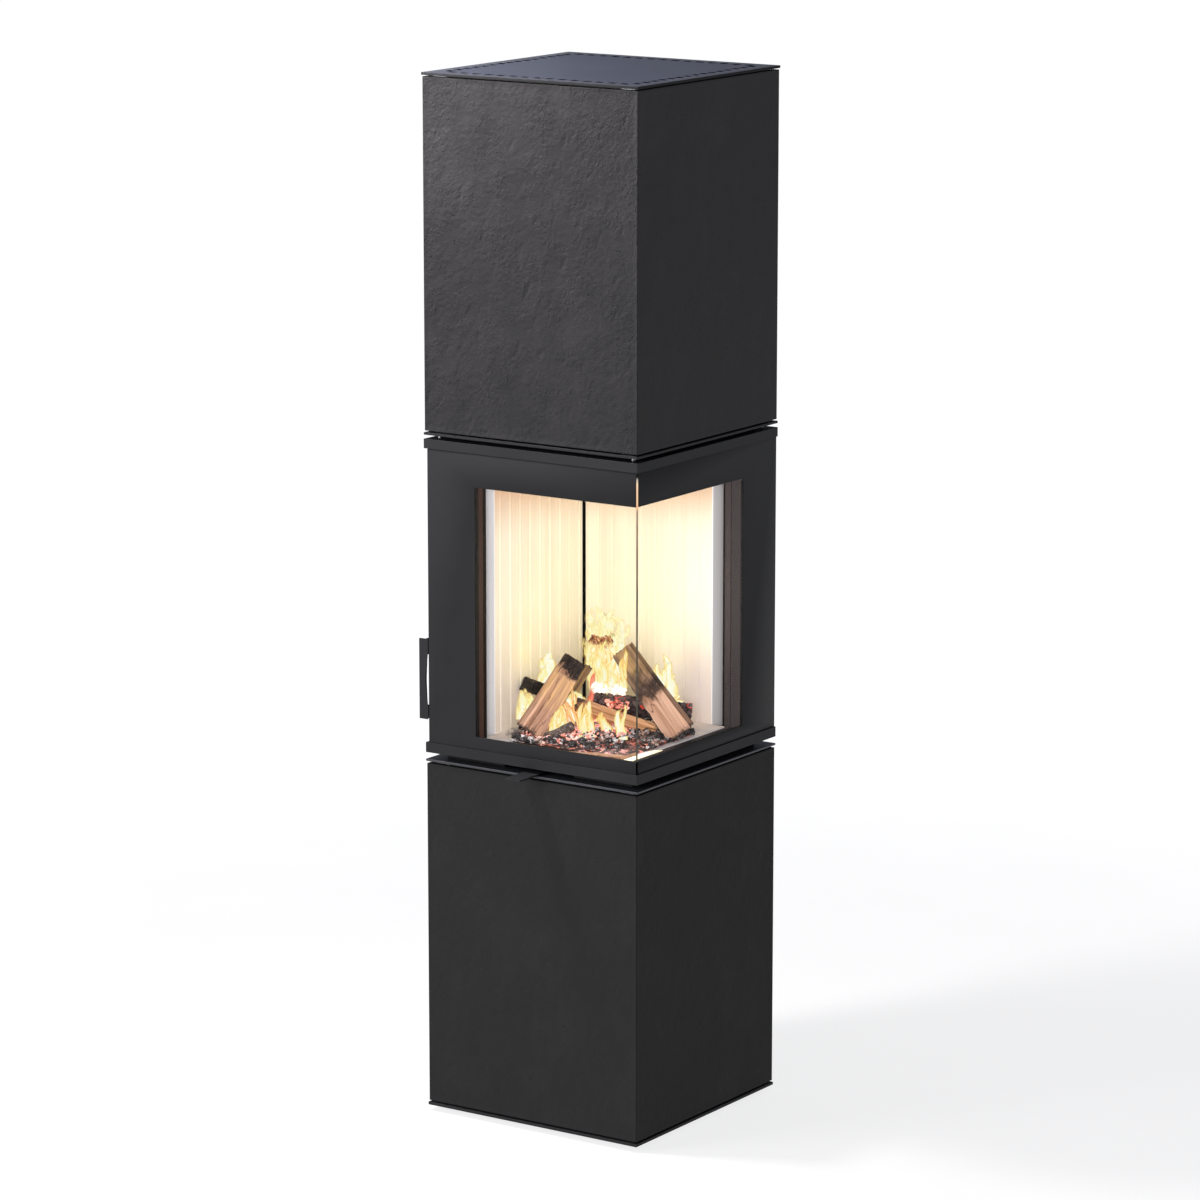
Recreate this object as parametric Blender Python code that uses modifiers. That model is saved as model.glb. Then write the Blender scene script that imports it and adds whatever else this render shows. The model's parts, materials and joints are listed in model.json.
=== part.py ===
# A tall square wood stove in three stacked boxes. The middle box is the firebox, whose
# L-shaped door has two panes that meet at the front right corner.
# Metres, +Z up, +X to the right and -Y to the front. The origin is on the floor, below
# the middle of the square plan.

import random
from math import asin, atan2, cos, hypot, pi, radians, sin, tan

import bmesh
import bpy
from mathutils import Matrix, Vector

# Plan
PLAN_SIDE = 0.450
PLAN_HALF = PLAN_SIDE / 2
SEAT_GAP = 0.0003
CUT_OVERRUN = 0.004
MERGE_DISTANCE = 0.000004
ROUND_SIDES = 24
SMALL_SIDES = 12
SMOOTH_ANGLE = radians(35)

# Heights, in the order in which the layers stack
FOOT_HEIGHT = 0.010
BASE_THICKNESS = 0.0055
CLADDING_REVEAL = 0.003
LOWER_CLADDING_HEIGHT = 0.6235
LID_REVEAL = 0.004
LID_THICKNESS = 0.004
LOWER_GAP = 0.012
HEARTH_THICKNESS = 0.0185
DOOR_CLEARANCE = 0.0005
DOOR_HEIGHT = 0.5275
CROWN_THICKNESS = 0.017
UPPER_GAP = 0.007
UPPER_BASE_THICKNESS = 0.0045
UPPER_CLADDING_HEIGHT = 0.620
TOP_REVEAL = 0.0025
TOP_THICKNESS = 0.0047

BASE_BOTTOM = FOOT_HEIGHT
BASE_TOP = BASE_BOTTOM + BASE_THICKNESS
LOWER_CLADDING_BOTTOM = BASE_TOP + CLADDING_REVEAL
LOWER_CLADDING_TOP = LOWER_CLADDING_BOTTOM + LOWER_CLADDING_HEIGHT
LID_BOTTOM = LOWER_CLADDING_TOP + LID_REVEAL
LID_TOP = LID_BOTTOM + LID_THICKNESS
HEARTH_BOTTOM = LID_TOP + LOWER_GAP
HEARTH_TOP = HEARTH_BOTTOM + HEARTH_THICKNESS
DOOR_BOTTOM = HEARTH_TOP + DOOR_CLEARANCE
DOOR_TOP = DOOR_BOTTOM + DOOR_HEIGHT
CROWN_BOTTOM = DOOR_TOP + DOOR_CLEARANCE
CROWN_TOP = CROWN_BOTTOM + CROWN_THICKNESS
UPPER_BASE_BOTTOM = CROWN_TOP + UPPER_GAP
UPPER_BASE_TOP = UPPER_BASE_BOTTOM + UPPER_BASE_THICKNESS
UPPER_CLADDING_BOTTOM = UPPER_BASE_TOP + CLADDING_REVEAL
UPPER_CLADDING_TOP = UPPER_CLADDING_BOTTOM + UPPER_CLADDING_HEIGHT
TOP_BOTTOM = UPPER_CLADDING_TOP + TOP_REVEAL
TOP_TOP = TOP_BOTTOM + TOP_THICKNESS

# Levelling feet
FOOT_INSET = 0.045
FOOT_PAD_RADIUS = 0.018
FOOT_PAD_THICKNESS = 0.006
FOOT_PAD_TOP_SHARE = 0.8
FOOT_STEM_RADIUS = 0.005
FOOT_STEM_LENGTH = 0.030

# Cladding, posts and back panels
CLADDING_INSET = 0.0015
CLADDING_THICKNESS = 0.012
CLADDING_FACE = PLAN_HALF - CLADDING_INSET
CLADDING_BACK = CLADDING_FACE - CLADDING_THICKNESS
POST_FACE = CLADDING_BACK - SEAT_GAP
POST_LEG = 0.030
POST_WALL = 0.0025
BACK_PANEL_THICKNESS = 0.002

# Recessed necks in the two gaps
LOWER_NECK_INSET = 0.028
UPPER_NECK_INSET = 0.028
NECK_WALL = 0.002

# Spacers that show at the corners of the upper gap
SPACER_RADIUS = 0.0035
SPACER_CLEARANCE = 0.0035
SPACER_INSET = UPPER_NECK_INSET - SPACER_CLEARANCE - SPACER_RADIUS

# Combustion air
AIR_INLET_RADIUS = 0.050
AIR_INLET_HEIGHT = 0.300
AIR_INLET_REACH = 0.040
LID_AIR_RADIUS = 0.060
PORT_COUNT = 6
PORT_RADIUS = 0.012
PORT_CIRCLE_RADIUS = 0.048
SHUTTER_MARGIN = 0.012
SHUTTER_RADIUS = PORT_CIRCLE_RADIUS + PORT_RADIUS + SHUTTER_MARGIN
SHUTTER_THICKNESS = 0.0035
SHUTTER_HUB_RADIUS = 0.022
LEVER_THICKNESS = 0.003
LEVER_WIDTH = 0.033
LEVER_REACH = 0.054
LEVER_FLOAT = 0.0007
LEVER_SWING = radians(15)
BOLT_RADIUS = 0.005
BOLT_HEAD_RADIUS = 0.009
BOLT_HEAD_THICKNESS = 0.005
BOLT_ENGAGEMENT = 0.010

# Door: how far its faces stand inside the square plan, and its glass
DOOR_FRONT_INSET = 0.0008
DOOR_SIDE_INSET = 0.0022
DOOR_LEFT_INSET = 0.0068
DOOR_REAR_INSET = 0.001
GLASS_THICKNESS = 0.005
DOOR_FRAME_DEPTH = 0.019
DOOR_FRAME_SET_IN = 0.010
TOP_BAND = 0.059
BOTTOM_BAND = 0.022
DOOR_SILL_DROP = 0.0062
FRAME_SILL_DROP = 0.0106
FRAME_WINDOW_MARGIN = 0.005
LEFT_BAND = 0.1085
REAR_BAND = 0.109

DOOR_LEFT = -PLAN_HALF + DOOR_LEFT_INSET
DOOR_RIGHT = PLAN_HALF - DOOR_SIDE_INSET
DOOR_FRONT = -PLAN_HALF + DOOR_FRONT_INSET
DOOR_REAR = PLAN_HALF - DOOR_REAR_INSET
DOOR_FRAME_LEFT = DOOR_LEFT + DOOR_FRAME_SET_IN
DOOR_FRAME_FRONT = DOOR_FRONT + GLASS_THICKNESS + SEAT_GAP
DOOR_FRAME_RIGHT = DOOR_RIGHT - GLASS_THICKNESS - SEAT_GAP
WINDOW_LEFT = -PLAN_HALF + LEFT_BAND
WINDOW_REAR = PLAN_HALF - REAR_BAND
WINDOW_BOTTOM = DOOR_BOTTOM + BOTTOM_BAND
WINDOW_TOP = DOOR_TOP - TOP_BAND
# The metal sills stand lower than the glass window, so that its band hides them
DOOR_SILL_TOP = WINDOW_BOTTOM - DOOR_SILL_DROP
FRAME_SILL_TOP = WINDOW_BOTTOM - FRAME_SILL_DROP

# Rope seal behind the door frame
SEAL_SPACE = 0.005
SEAL_WIDTH = 0.010
SEAL_MARGIN = 0.006
SEAL_FOOT = 0.001

# Hinge pins at the rear right corner
HINGE_PIN_RADIUS = 0.004
HINGE_PIN_SEAT = 0.012
HINGE_PIN_REACH = 0.018
HINGE_X = DOOR_FRAME_RIGHT - DOOR_FRAME_DEPTH / 2
HINGE_Y = DOOR_REAR - DOOR_FRAME_DEPTH / 2

# Handle, which turns on an upright shaft behind the left edge of the front pane
HANDLE_RISE = 0.041
HANDLE_HEIGHT = 0.145
HANDLE_REACH = 0.013
HANDLE_PLATE = 0.004
HANDLE_EDGE_GAP = 0.0008
HANDLE_EDGE_SLANT = 0.005
HANDLE_WEB = 0.003
HANDLE_WEB_FRONT = 0.0018
HANDLE_WEB_BACK = 0.0034
FINGER_SLOT_RISE = 0.024
FINGER_SLOT_DROP = 0.029
FINGER_SLOT_HEIGHT = HANDLE_HEIGHT - FINGER_SLOT_RISE - FINGER_SLOT_DROP
FINGER_SLOT_EDGE = 0.0015
FINGER_SLOT_BOW = 0.0048
FINGER_SLOT_STEPS = 8
LATCH_SET_IN = 0.0047
LATCH_SET_BACK = 0.0052
LATCH_SHAFT_RADIUS = 0.003
LATCH_BOSS_RADIUS = 0.0045
LATCH_HEAD_THICKNESS = 0.002
LUG_HEIGHT = 0.006
HOOK_THICKNESS = 0.008
HOOK_ARM_WIDTH = 0.005
HOOK_REACH = 0.024
HOOK_BARB = 0.0045
HOOK_BARB_THICKNESS = 0.0045
STRIKE_HEIGHT = 0.040
STRIKE_WALL = 0.002
STRIKE_LIP = 0.003
STRIKE_PLAY = 0.0005
STRIKE_DEPTH = 0.0145
STRIKE_LIP_REACH = 0.010

LATCH_X = DOOR_LEFT + LATCH_SET_IN
LATCH_Y = DOOR_FRONT + GLASS_THICKNESS + LATCH_SET_BACK
HANDLE_BOTTOM = DOOR_BOTTOM + HANDLE_RISE
HANDLE_TOP = HANDLE_BOTTOM + HANDLE_HEIGHT
HOOK_MIDDLE = HANDLE_BOTTOM + HANDLE_HEIGHT / 2

# Firebox: frame, shell, casing and lining
FIREBOX_FRAME_DEPTH = 0.012
FIREBOX_FRAME_LEFT_INSET = 0.025
FIREBOX_FRAME_REAR_INSET = 0.0205
SHELL_WALL = 0.003
FIRECLAY_THICKNESS = 0.035
LINING_LEFT_INSET = 0.0995
LINING_FRONT_INSET = 0.072
LINING_JOINT = 0.005
RIB_PITCH = 0.031
RIB_GROOVE_WIDTH = 0.004
RIB_GROOVE_DEPTH = 0.0025
HEARTH_SLAB_THICKNESS = 0.010
GRATE_SIDE = 0.120
GRATE_THICKNESS = 0.008
GRATE_SLOTS = 6
GRATE_BORDER = 0.012
GRATE_SLOT_WIDTH = 0.008
GRATE_AIR_RADIUS = 0.050
BAFFLE_THICKNESS = 0.022
SMOKE_SPACE = 0.0213
BAFFLE_SHARE = 0.86
CASING_WALL = 0.002
CASING_INSET = 0.008
CASING_REAR_INSET = 0.010
CASING_END_INSET = 0.035
CASING_FRONT_INSET = 0.042

FIREBOX_FRAME_FRONT = DOOR_FRAME_FRONT + DOOR_FRAME_DEPTH + SEAL_SPACE
FIREBOX_FRAME_RIGHT = DOOR_FRAME_RIGHT - DOOR_FRAME_DEPTH - SEAL_SPACE
FIREBOX_FRAME_LEFT = -PLAN_HALF + FIREBOX_FRAME_LEFT_INSET
FIREBOX_FRAME_REAR = PLAN_HALF - FIREBOX_FRAME_REAR_INSET
SHELL_FRONT = FIREBOX_FRAME_FRONT + FIREBOX_FRAME_DEPTH + SEAT_GAP
SHELL_RIGHT = FIREBOX_FRAME_RIGHT - FIREBOX_FRAME_DEPTH - SEAT_GAP
SHELL_BOTTOM = HEARTH_TOP + SEAT_GAP
SHELL_TOP = CROWN_BOTTOM - SEAT_GAP
LINING_LEFT = -PLAN_HALF + LINING_LEFT_INSET
LINING_BACK = -LINING_LEFT
LINING_FRONT = -PLAN_HALF + LINING_FRONT_INSET
LINING_RIGHT = -LINING_FRONT
SHELL_LEFT = LINING_LEFT - FIRECLAY_THICKNESS - SEAT_GAP - SHELL_WALL
SHELL_BACK = -SHELL_LEFT
LINING_BOTTOM = SHELL_BOTTOM + SHELL_WALL + SEAT_GAP
BAFFLE_TOP = SHELL_TOP - SHELL_WALL - SMOKE_SPACE
BAFFLE_BOTTOM = BAFFLE_TOP - BAFFLE_THICKNESS
LINING_TOP = BAFFLE_BOTTOM - SEAT_GAP
FLOOR_TOP = LINING_BOTTOM + HEARTH_SLAB_THICKNESS

# Flue, which rises from the firebox and turns to the rear inside the upper box
FLUE_RADIUS = 0.075
FLUE_WALL = 0.002
FLUE_BEND_RADIUS = 0.115
FLUE_REAR_RUN = 0.0259
FLUE_OUTLET_DROP = 0.2677
FLUE_BEND_STEPS = 6
COLLAR_REACH = 0.055
COLLAR_FLANGE_WIDTH = 0.020
COLLAR_FLANGE_THICKNESS = 0.002

FLUE_OUTLET_HEIGHT = TOP_TOP - FLUE_OUTLET_DROP
FLUE_REAR = POST_FACE - COLLAR_FLANGE_WIDTH - SEAT_GAP
FLUE_Y = FLUE_REAR - FLUE_REAR_RUN - FLUE_BEND_RADIUS

# Vent slots over the air channels between shell and casing, and in the top plate
VENT_LENGTH = 0.220
CROWN_VENT_WIDTH = 0.022
HEARTH_VENT_WIDTH = 0.013
TOP_SLOT_INSET = 0.030
TOP_SLOT_LENGTH = 0.014
TOP_SLOT_WIDTH = 0.0045
TOP_SLOT_PITCH = 0.0256

# Fire bed and logs. Their places are shares of the hearth's width, measured along
# and across the diagonal that faces the corner of the glass.
HEARTH_WIDTH = SHELL_RIGHT - LINING_LEFT
HEARTH_X = LINING_LEFT + HEARTH_WIDTH / 2
HEARTH_Y = -HEARTH_X
FIRE_FACING = radians(34)
LOG_SEAT_SHARE = 1.04
LOG_HEART_SHARE = 0.55
LOG_BARK_ANGLE = radians(70)
LOG_BARK_STEPS = 7
BED_LENGTH_SHARE = 0.90
BED_DEPTH_SHARE = 0.62
BED_HEIGHT_SHARE = 0.100
BED_OFFSET_SHARE = -0.100
BED_LUMP_SHARE = 0.07
BED_RINGS = 16
BED_SIDES = 26
# name: start (along, across, up), end (along, across, up), radius, roll in turns
LOG_SHARES = {
    "log_left": ((-0.445, -0.165, 0.074), (-0.200, -0.155, 0.470), 0.098, 0.10),
    "log_right": ((0.425, -0.165, 0.076), (0.112, -0.160, 0.530), 0.100, 0.90),
    "log_cross": ((0.275, -0.200, 0.062), (-0.165, -0.190, 0.245), 0.050, 0.25),
    "log_charred": ((0.415, 0.035, 0.075), (-0.105, 0.030, 0.145), 0.056, 0.75),
    "log_back": ((-0.030, 0.160, 0.070), (-0.405, 0.150, 0.260), 0.050, 0.20),
}

# Finishes: colour, roughness and metallic value
FINISHES = {
    "painted steel": ((0.040, 0.041, 0.044), 0.48, 0.30),
    "top plate steel": ((0.030, 0.035, 0.050), 0.36, 0.40),
    "textured cladding": ((0.036, 0.036, 0.037), 0.62, 0.0),
    "bare steel": ((0.42, 0.42, 0.43), 0.35, 1.0),
    "firebox steel": ((0.055, 0.045, 0.038), 0.60, 0.50),
    "fireclay": ((0.78, 0.72, 0.60), 0.85, 0.0),
    "cast iron": ((0.050, 0.048, 0.046), 0.70, 0.60),
    "glass": ((0.55, 0.60, 0.60), 0.05, 0.0),
    "rope": ((0.16, 0.15, 0.14), 0.95, 0.0),
    "galvanised steel": ((0.50, 0.51, 0.52), 0.42, 0.9),
    "split wood": ((0.36, 0.19, 0.09), 0.80, 0.0),
    "charcoal": ((0.030, 0.024, 0.022), 0.90, 0.0),
}


def clear_scene():
    for obj in list(bpy.data.objects):
        bpy.data.objects.remove(obj, do_unlink=True)


def new_collection(name):
    collection = bpy.data.collections.new(name)
    bpy.context.scene.collection.children.link(collection)
    return collection


def material_for(name, finish):
    color, roughness, metallic = FINISHES[finish]
    material = bpy.data.materials.new(name + "_finish")
    material.use_nodes = True
    shader = material.node_tree.nodes["Principled BSDF"]
    shader.inputs["Base Color"].default_value = (*color, 1.0)
    shader.inputs["Roughness"].default_value = roughness
    shader.inputs["Metallic"].default_value = metallic
    material.diffuse_color = (*color, 1.0)
    return material


def place(name, mesh, location, finish, parent=None):
    obj = bpy.data.objects.new(name, mesh)
    PARTS.objects.link(obj)
    obj.parent = parent
    obj.location = Vector(location) - (parent.location if parent else Vector())
    mesh.materials.clear()
    mesh.materials.append(material_for(name, finish))
    return obj


def place_cutter(name, mesh, location):
    obj = bpy.data.objects.new(name, mesh)
    CUTTERS.objects.link(obj)
    obj.location = location
    obj.hide_render = True
    obj.display_type = "WIRE"
    return obj


def pivot(name, location):
    empty = bpy.data.objects.new(name, None)
    PARTS.objects.link(empty)
    empty.location = location
    return empty


def mesh_from(name, bm):
    mesh = bpy.data.meshes.new(name)
    bm.to_mesh(mesh)
    bm.free()
    return mesh


def block_mesh(name, size):
    bm = bmesh.new()
    bmesh.ops.create_cube(bm, size=1)
    bmesh.ops.scale(bm, vec=size, verts=bm.verts)
    return mesh_from(name, bm)


def block(name, low, high, finish, parent=None):
    low, high = Vector(low), Vector(high)
    return place(name, block_mesh(name, high - low), (low + high) / 2, finish, parent)


def cutter_block(name, low, high):
    low, high = Vector(low), Vector(high)
    return place_cutter(name, block_mesh(name, high - low), (low + high) / 2)


def drum_mesh(name, radius, height, sides):
    bm = bmesh.new()
    bmesh.ops.create_cone(
        bm, cap_ends=True, segments=sides, radius1=radius, radius2=radius, depth=height
    )
    return mesh_from(name, bm)


def cutter_drum(name, x, y, bottom, top, radius, sides=ROUND_SIDES):
    mesh = drum_mesh(name, radius, top - bottom, sides)
    return place_cutter(name, mesh, (x, y, (bottom + top) / 2))


def hole_around(radius, sides):
    # A many-sided hole whose flats clear a round of this radius by the seat gap
    return (radius + SEAT_GAP) / cos(pi / sides)


def smooth_rounds(mesh):
    mesh.shade_smooth()
    mesh.set_sharp_from_angle(angle=SMOOTH_ANGLE)


def outline_mesh(name, loops, thickness):
    # Closed outlines in the XY plane, thickened evenly about it. Inner loops are holes.
    curve = bpy.data.curves.new(name, "CURVE")
    curve.dimensions = "2D"
    curve.fill_mode = "BOTH"
    curve.extrude = thickness / 2
    for loop in loops:
        spline = curve.splines.new("POLY")
        spline.points.add(len(loop) - 1)
        for point, (x, y) in zip(spline.points, loop):
            point.co = (x, y, 0, 1)
        spline.use_cyclic_u = True
    holder = bpy.data.objects.new(name + "_outline", curve)
    bpy.context.scene.collection.objects.link(holder)
    bpy.context.view_layer.update()
    graph = bpy.context.evaluated_depsgraph_get()
    mesh = bpy.data.meshes.new_from_object(holder.evaluated_get(graph))
    bpy.data.objects.remove(holder, do_unlink=True)
    bm = bmesh.new()
    bm.from_mesh(mesh)
    bmesh.ops.remove_doubles(bm, verts=bm.verts, dist=MERGE_DISTANCE)
    bmesh.ops.recalc_face_normals(bm, faces=bm.faces)
    bm.to_mesh(mesh)
    bm.free()
    smooth_rounds(mesh)
    mesh.name = name
    return mesh


def outline_solid(name, loops, bottom, top, finish, parent=None):
    mesh = outline_mesh(name, loops, top - bottom)
    if parent:
        for vertex in mesh.vertices:
            vertex.co.x -= parent.location.x
            vertex.co.y -= parent.location.y
    x, y = (parent.location.x, parent.location.y) if parent else (0, 0)
    return place(name, mesh, (x, y, (bottom + top) / 2), finish, parent)


def outline_cutter(name, loops, bottom, top):
    mesh = outline_mesh(name, loops, top - bottom)
    return place_cutter(name, mesh, (0, 0, (bottom + top) / 2))


def circle(x, y, radius, sides):
    return [
        (x + radius * cos(2 * pi * k / sides), y + radius * sin(2 * pi * k / sides))
        for k in range(sides)
    ]


def rectangle(left, front, right, rear):
    return [(left, front), (right, front), (right, rear), (left, rear)]


def corner_outline(left, front, right, rear, depth):
    # An L in plan that runs along the front and round the right corner to the rear
    return [
        (left, front),
        (right, front),
        (right, rear),
        (right - depth, rear),
        (right - depth, front + depth),
        (left, front + depth),
    ]


def turned_mesh(name, profile, closed=False):
    # The profile gives radius and height, down the outer side from the top
    mesh = bpy.data.meshes.new(name)
    count = len(profile)
    edges = [(k, k + 1) for k in range(count - 1)]
    if closed:
        edges.append((count - 1, 0))
    mesh.from_pydata([(radius, 0, height) for radius, height in profile], edges, [])
    return mesh


def turn(obj, sides):
    screw = obj.modifiers.new("turned", "SCREW")
    screw.steps = sides
    screw.render_steps = sides
    screw.use_merge_vertices = True
    screw.merge_threshold = MERGE_DISTANCE
    screw.use_smooth_shade = True
    return obj


def cut(obj, *cutters):
    for cutter in cutters:
        difference = obj.modifiers.new("cut " + cutter.name, "BOOLEAN")
        difference.operation = "DIFFERENCE"
        difference.solver = "EXACT"
        difference.object = cutter
    return obj


def add(obj, *pieces):
    for piece in pieces:
        union = obj.modifiers.new("joined " + piece.name, "BOOLEAN")
        union.operation = "UNION"
        union.solver = "EXACT"
        union.object = piece
    return obj


def make_feet():
    pad_top = FOOT_PAD_THICKNESS
    profile = [
        (0, pad_top + FOOT_STEM_LENGTH),
        (FOOT_STEM_RADIUS, pad_top + FOOT_STEM_LENGTH),
        (FOOT_STEM_RADIUS, pad_top),
        (FOOT_PAD_RADIUS * FOOT_PAD_TOP_SHARE, pad_top),
        (FOOT_PAD_RADIUS, pad_top / 2),
        (FOOT_PAD_RADIUS, 0),
        (0, 0),
    ]
    for name, x, y in foot_places():
        foot = place(name, turned_mesh(name, profile), (x, y, 0), "bare steel")
        turn(foot, SMALL_SIDES)


def foot_places():
    reach = PLAN_HALF - FOOT_INSET
    return [
        ("levelling_foot_front_left", -reach, -reach),
        ("levelling_foot_front_right", reach, -reach),
        ("levelling_foot_rear_left", -reach, reach),
        ("levelling_foot_rear_right", reach, reach),
    ]


def plan_square():
    return rectangle(-PLAN_HALF, -PLAN_HALF, PLAN_HALF, PLAN_HALF)


def make_base_plate():
    hole = hole_around(FOOT_STEM_RADIUS, SMALL_SIDES)
    loops = [plan_square()]
    loops += [circle(x, y, hole, SMALL_SIDES) for _, x, y in foot_places()]
    outline_solid("base_plate", loops, BASE_BOTTOM, BASE_TOP, "painted steel")


def make_posts(level, bottom, top):
    # Angle sections in the four corners, with their legs along the walls
    corners = {
        "front_left": (-1, -1),
        "front_right": (1, -1),
        "rear_left": (-1, 1),
        "rear_right": (1, 1),
    }
    outer, inner, end = POST_FACE, POST_FACE - POST_WALL, POST_FACE - POST_LEG
    section = [(outer, outer), (outer, end), (inner, end)]
    section += [(inner, inner), (end, inner), (end, outer)]
    for corner, (side, face) in corners.items():
        loop = [(x * side, y * face) for x, y in section]
        name = f"{level}_post_{corner}"
        outline_solid(name, [loop], bottom + SEAT_GAP, top - SEAT_GAP, "galvanised steel")


def make_cladding(level, bottom, top):
    # Three panels, mitred to each other at the two front corners
    face, back, gap = CLADDING_FACE, CLADDING_BACK, SEAT_GAP
    front = [(gap - face, -face), (face - gap, -face)]
    front += [(back - gap, -back), (gap - back, -back)]
    right = [(face, gap - face), (face, face), (back, face), (back, gap - back)]
    left = [(-x, y) for x, y in right]
    for side, loop in (("front", front), ("left", left), ("right", right)):
        name = f"{level}_cladding_{side}"
        outline_solid(name, [loop], bottom, top, "textured cladding")


def make_back_panel(level, bottom, top, outlet_height, outlet_radius):
    low = (-POST_FACE, POST_FACE + SEAT_GAP, bottom)
    high = (POST_FACE, POST_FACE + SEAT_GAP + BACK_PANEL_THICKNESS, top)
    panel = block(f"{level}_back_panel", low, high, "painted steel")
    radius = hole_around(outlet_radius, ROUND_SIDES)
    mesh = drum_mesh(f"{level}_outlet", radius, PLAN_HALF, ROUND_SIDES)
    hole = place_cutter(f"{level}_outlet_cutter", mesh, (0, POST_FACE, outlet_height))
    hole.rotation_euler.x = pi / 2
    cut(panel, hole)


def make_lid():
    loops = [plan_square(), circle(0, 0, LID_AIR_RADIUS, ROUND_SIDES)]
    outline_solid("lower_lid", loops, LID_BOTTOM, LID_TOP, "top plate steel")


def lever_bottom():
    return LID_TOP + LEVER_FLOAT


def lever_top():
    return lever_bottom() + LEVER_THICKNESS


def neck_loops(inset):
    outer = PLAN_HALF - inset
    inner = outer - NECK_WALL
    return [
        rectangle(-outer, -outer, outer, outer),
        rectangle(-inner, -inner, inner, inner),
    ]


def make_lower_neck():
    bottom, top = LID_TOP + SEAT_GAP, HEARTH_BOTTOM - SEAT_GAP
    neck = outline_solid(
        "lower_neck", neck_loops(LOWER_NECK_INSET), bottom, top, "painted steel"
    )
    outer = PLAN_HALF - LOWER_NECK_INSET
    half = outer * tan(LEVER_SWING) + LEVER_WIDTH / 2 / cos(LEVER_SWING) + CUT_OVERRUN
    low = (-half, -outer - CUT_OVERRUN, lever_bottom() - SEAT_GAP)
    high = (half, -outer + NECK_WALL + CUT_OVERRUN, lever_top() + LEVER_FLOAT)
    cut(neck, cutter_block("lever_slot", low, high))


def port_loops():
    step = 2 * pi / PORT_COUNT
    places = [(cos(k * step), sin(k * step)) for k in range(PORT_COUNT)]
    reach = PORT_CIRCLE_RADIUS
    return [circle(x * reach, y * reach, PORT_RADIUS, SMALL_SIDES) for x, y in places]


def make_hearth_plate():
    bolt = circle(0, 0, hole_around(BOLT_RADIUS, SMALL_SIDES), SMALL_SIDES)
    neck_outer = PLAN_HALF - LOWER_NECK_INSET
    casing_inner = PLAN_HALF - CASING_INSET - CASING_WALL
    vents = vent_loops((neck_outer + casing_inner) / 2, HEARTH_VENT_WIDTH)
    loops = [plan_square(), bolt, *port_loops(), *vents]
    plate = outline_solid("hearth_plate", loops, HEARTH_BOTTOM, HEARTH_TOP, "painted steel")
    cut(plate, pin_hole("hinge_seat_bottom", HEARTH_TOP, HEARTH_TOP - HINGE_PIN_SEAT))


def pin_hole(name, face, pin_end):
    # A blind hole for a hinge pin, from a flat face to just past the pin's end
    way = 1 if pin_end > face else -1
    ends = sorted((pin_end + way * SEAT_GAP, face - way * CUT_OVERRUN))
    radius = hole_around(HINGE_PIN_RADIUS, SMALL_SIDES)
    return cutter_drum(name, HINGE_X, HINGE_Y, *ends, radius, SMALL_SIDES)


def make_air_control():
    axis = pivot("air_pivot", (0, 0, lever_bottom()))
    hub = circle(0, 0, SHUTTER_HUB_RADIUS, ROUND_SIDES)
    bore = hole_around(BOLT_RADIUS, SMALL_SIDES)
    shutter_top = HEARTH_BOTTOM - SEAT_GAP
    shutter_bottom = shutter_top - SHUTTER_THICKNESS
    loops = [circle(0, 0, SHUTTER_RADIUS, ROUND_SIDES), *port_loops()]
    shutter = outline_solid(
        "air_shutter", loops, shutter_bottom, shutter_top, "bare steel", axis
    )
    hub_bottom = lever_top() + SEAT_GAP
    boss = outline_cutter("shutter_hub", [hub], hub_bottom, shutter_top - SEAT_GAP)
    hole = cutter_drum(
        "shutter_bore", 0, 0, hub_bottom - CUT_OVERRUN, HEARTH_BOTTOM, bore, SMALL_SIDES
    )
    cut(add(shutter, boss), hole)
    half, reach = LEVER_WIDTH / 2, PLAN_HALF + LEVER_REACH
    tongue = rectangle(-half, -reach, half, 0)
    lever = outline_solid(
        "air_lever", [tongue], lever_bottom(), lever_top(), "painted steel", axis
    )
    round_end = outline_cutter("lever_hub", [hub], lever_bottom(), lever_top())
    low, high = lever_bottom() - CUT_OVERRUN, lever_top() + CUT_OVERRUN
    cut(add(lever, round_end), cutter_drum("lever_bore", 0, 0, low, high, bore, SMALL_SIDES))


def make_air_bolt():
    head_top = lever_bottom() - SEAT_GAP
    tip = HEARTH_BOTTOM + BOLT_ENGAGEMENT
    profile = [
        (0, tip),
        (BOLT_RADIUS, tip),
        (BOLT_RADIUS, head_top),
        (BOLT_HEAD_RADIUS, head_top),
        (BOLT_HEAD_RADIUS, head_top - BOLT_HEAD_THICKNESS),
        (0, head_top - BOLT_HEAD_THICKNESS),
    ]
    bolt = place("air_pivot_bolt", turned_mesh("air_pivot_bolt", profile), (0, 0, 0), "bare steel")
    turn(bolt, SMALL_SIDES)


def make_collar(name, radius, reach, height):
    # A spigot with a screw flange on the back panel's outer face. It is turned about
    # Z and then laid down, so that its top becomes its rear end.
    face = POST_FACE + SEAT_GAP + BACK_PANEL_THICKNESS + SEAT_GAP
    rear = PLAN_HALF + reach
    front = POST_FACE - COLLAR_FLANGE_WIDTH
    wide = radius + COLLAR_FLANGE_WIDTH
    bore = radius - FLUE_WALL
    profile = [
        (radius, rear),
        (radius, face + COLLAR_FLANGE_THICKNESS),
        (wide, face + COLLAR_FLANGE_THICKNESS),
        (wide, face),
        (radius, face),
        (radius, front),
        (bore, front),
        (bore, rear),
    ]
    collar = place(name, turned_mesh(name, profile, True), (0, 0, height), "painted steel")
    collar.rotation_euler.x = -pi / 2
    turn(collar, ROUND_SIDES)


def door_outline(left, rear):
    return corner_outline(
        left, DOOR_FRAME_FRONT, DOOR_FRAME_RIGHT, rear, DOOR_FRAME_DEPTH
    )


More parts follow.
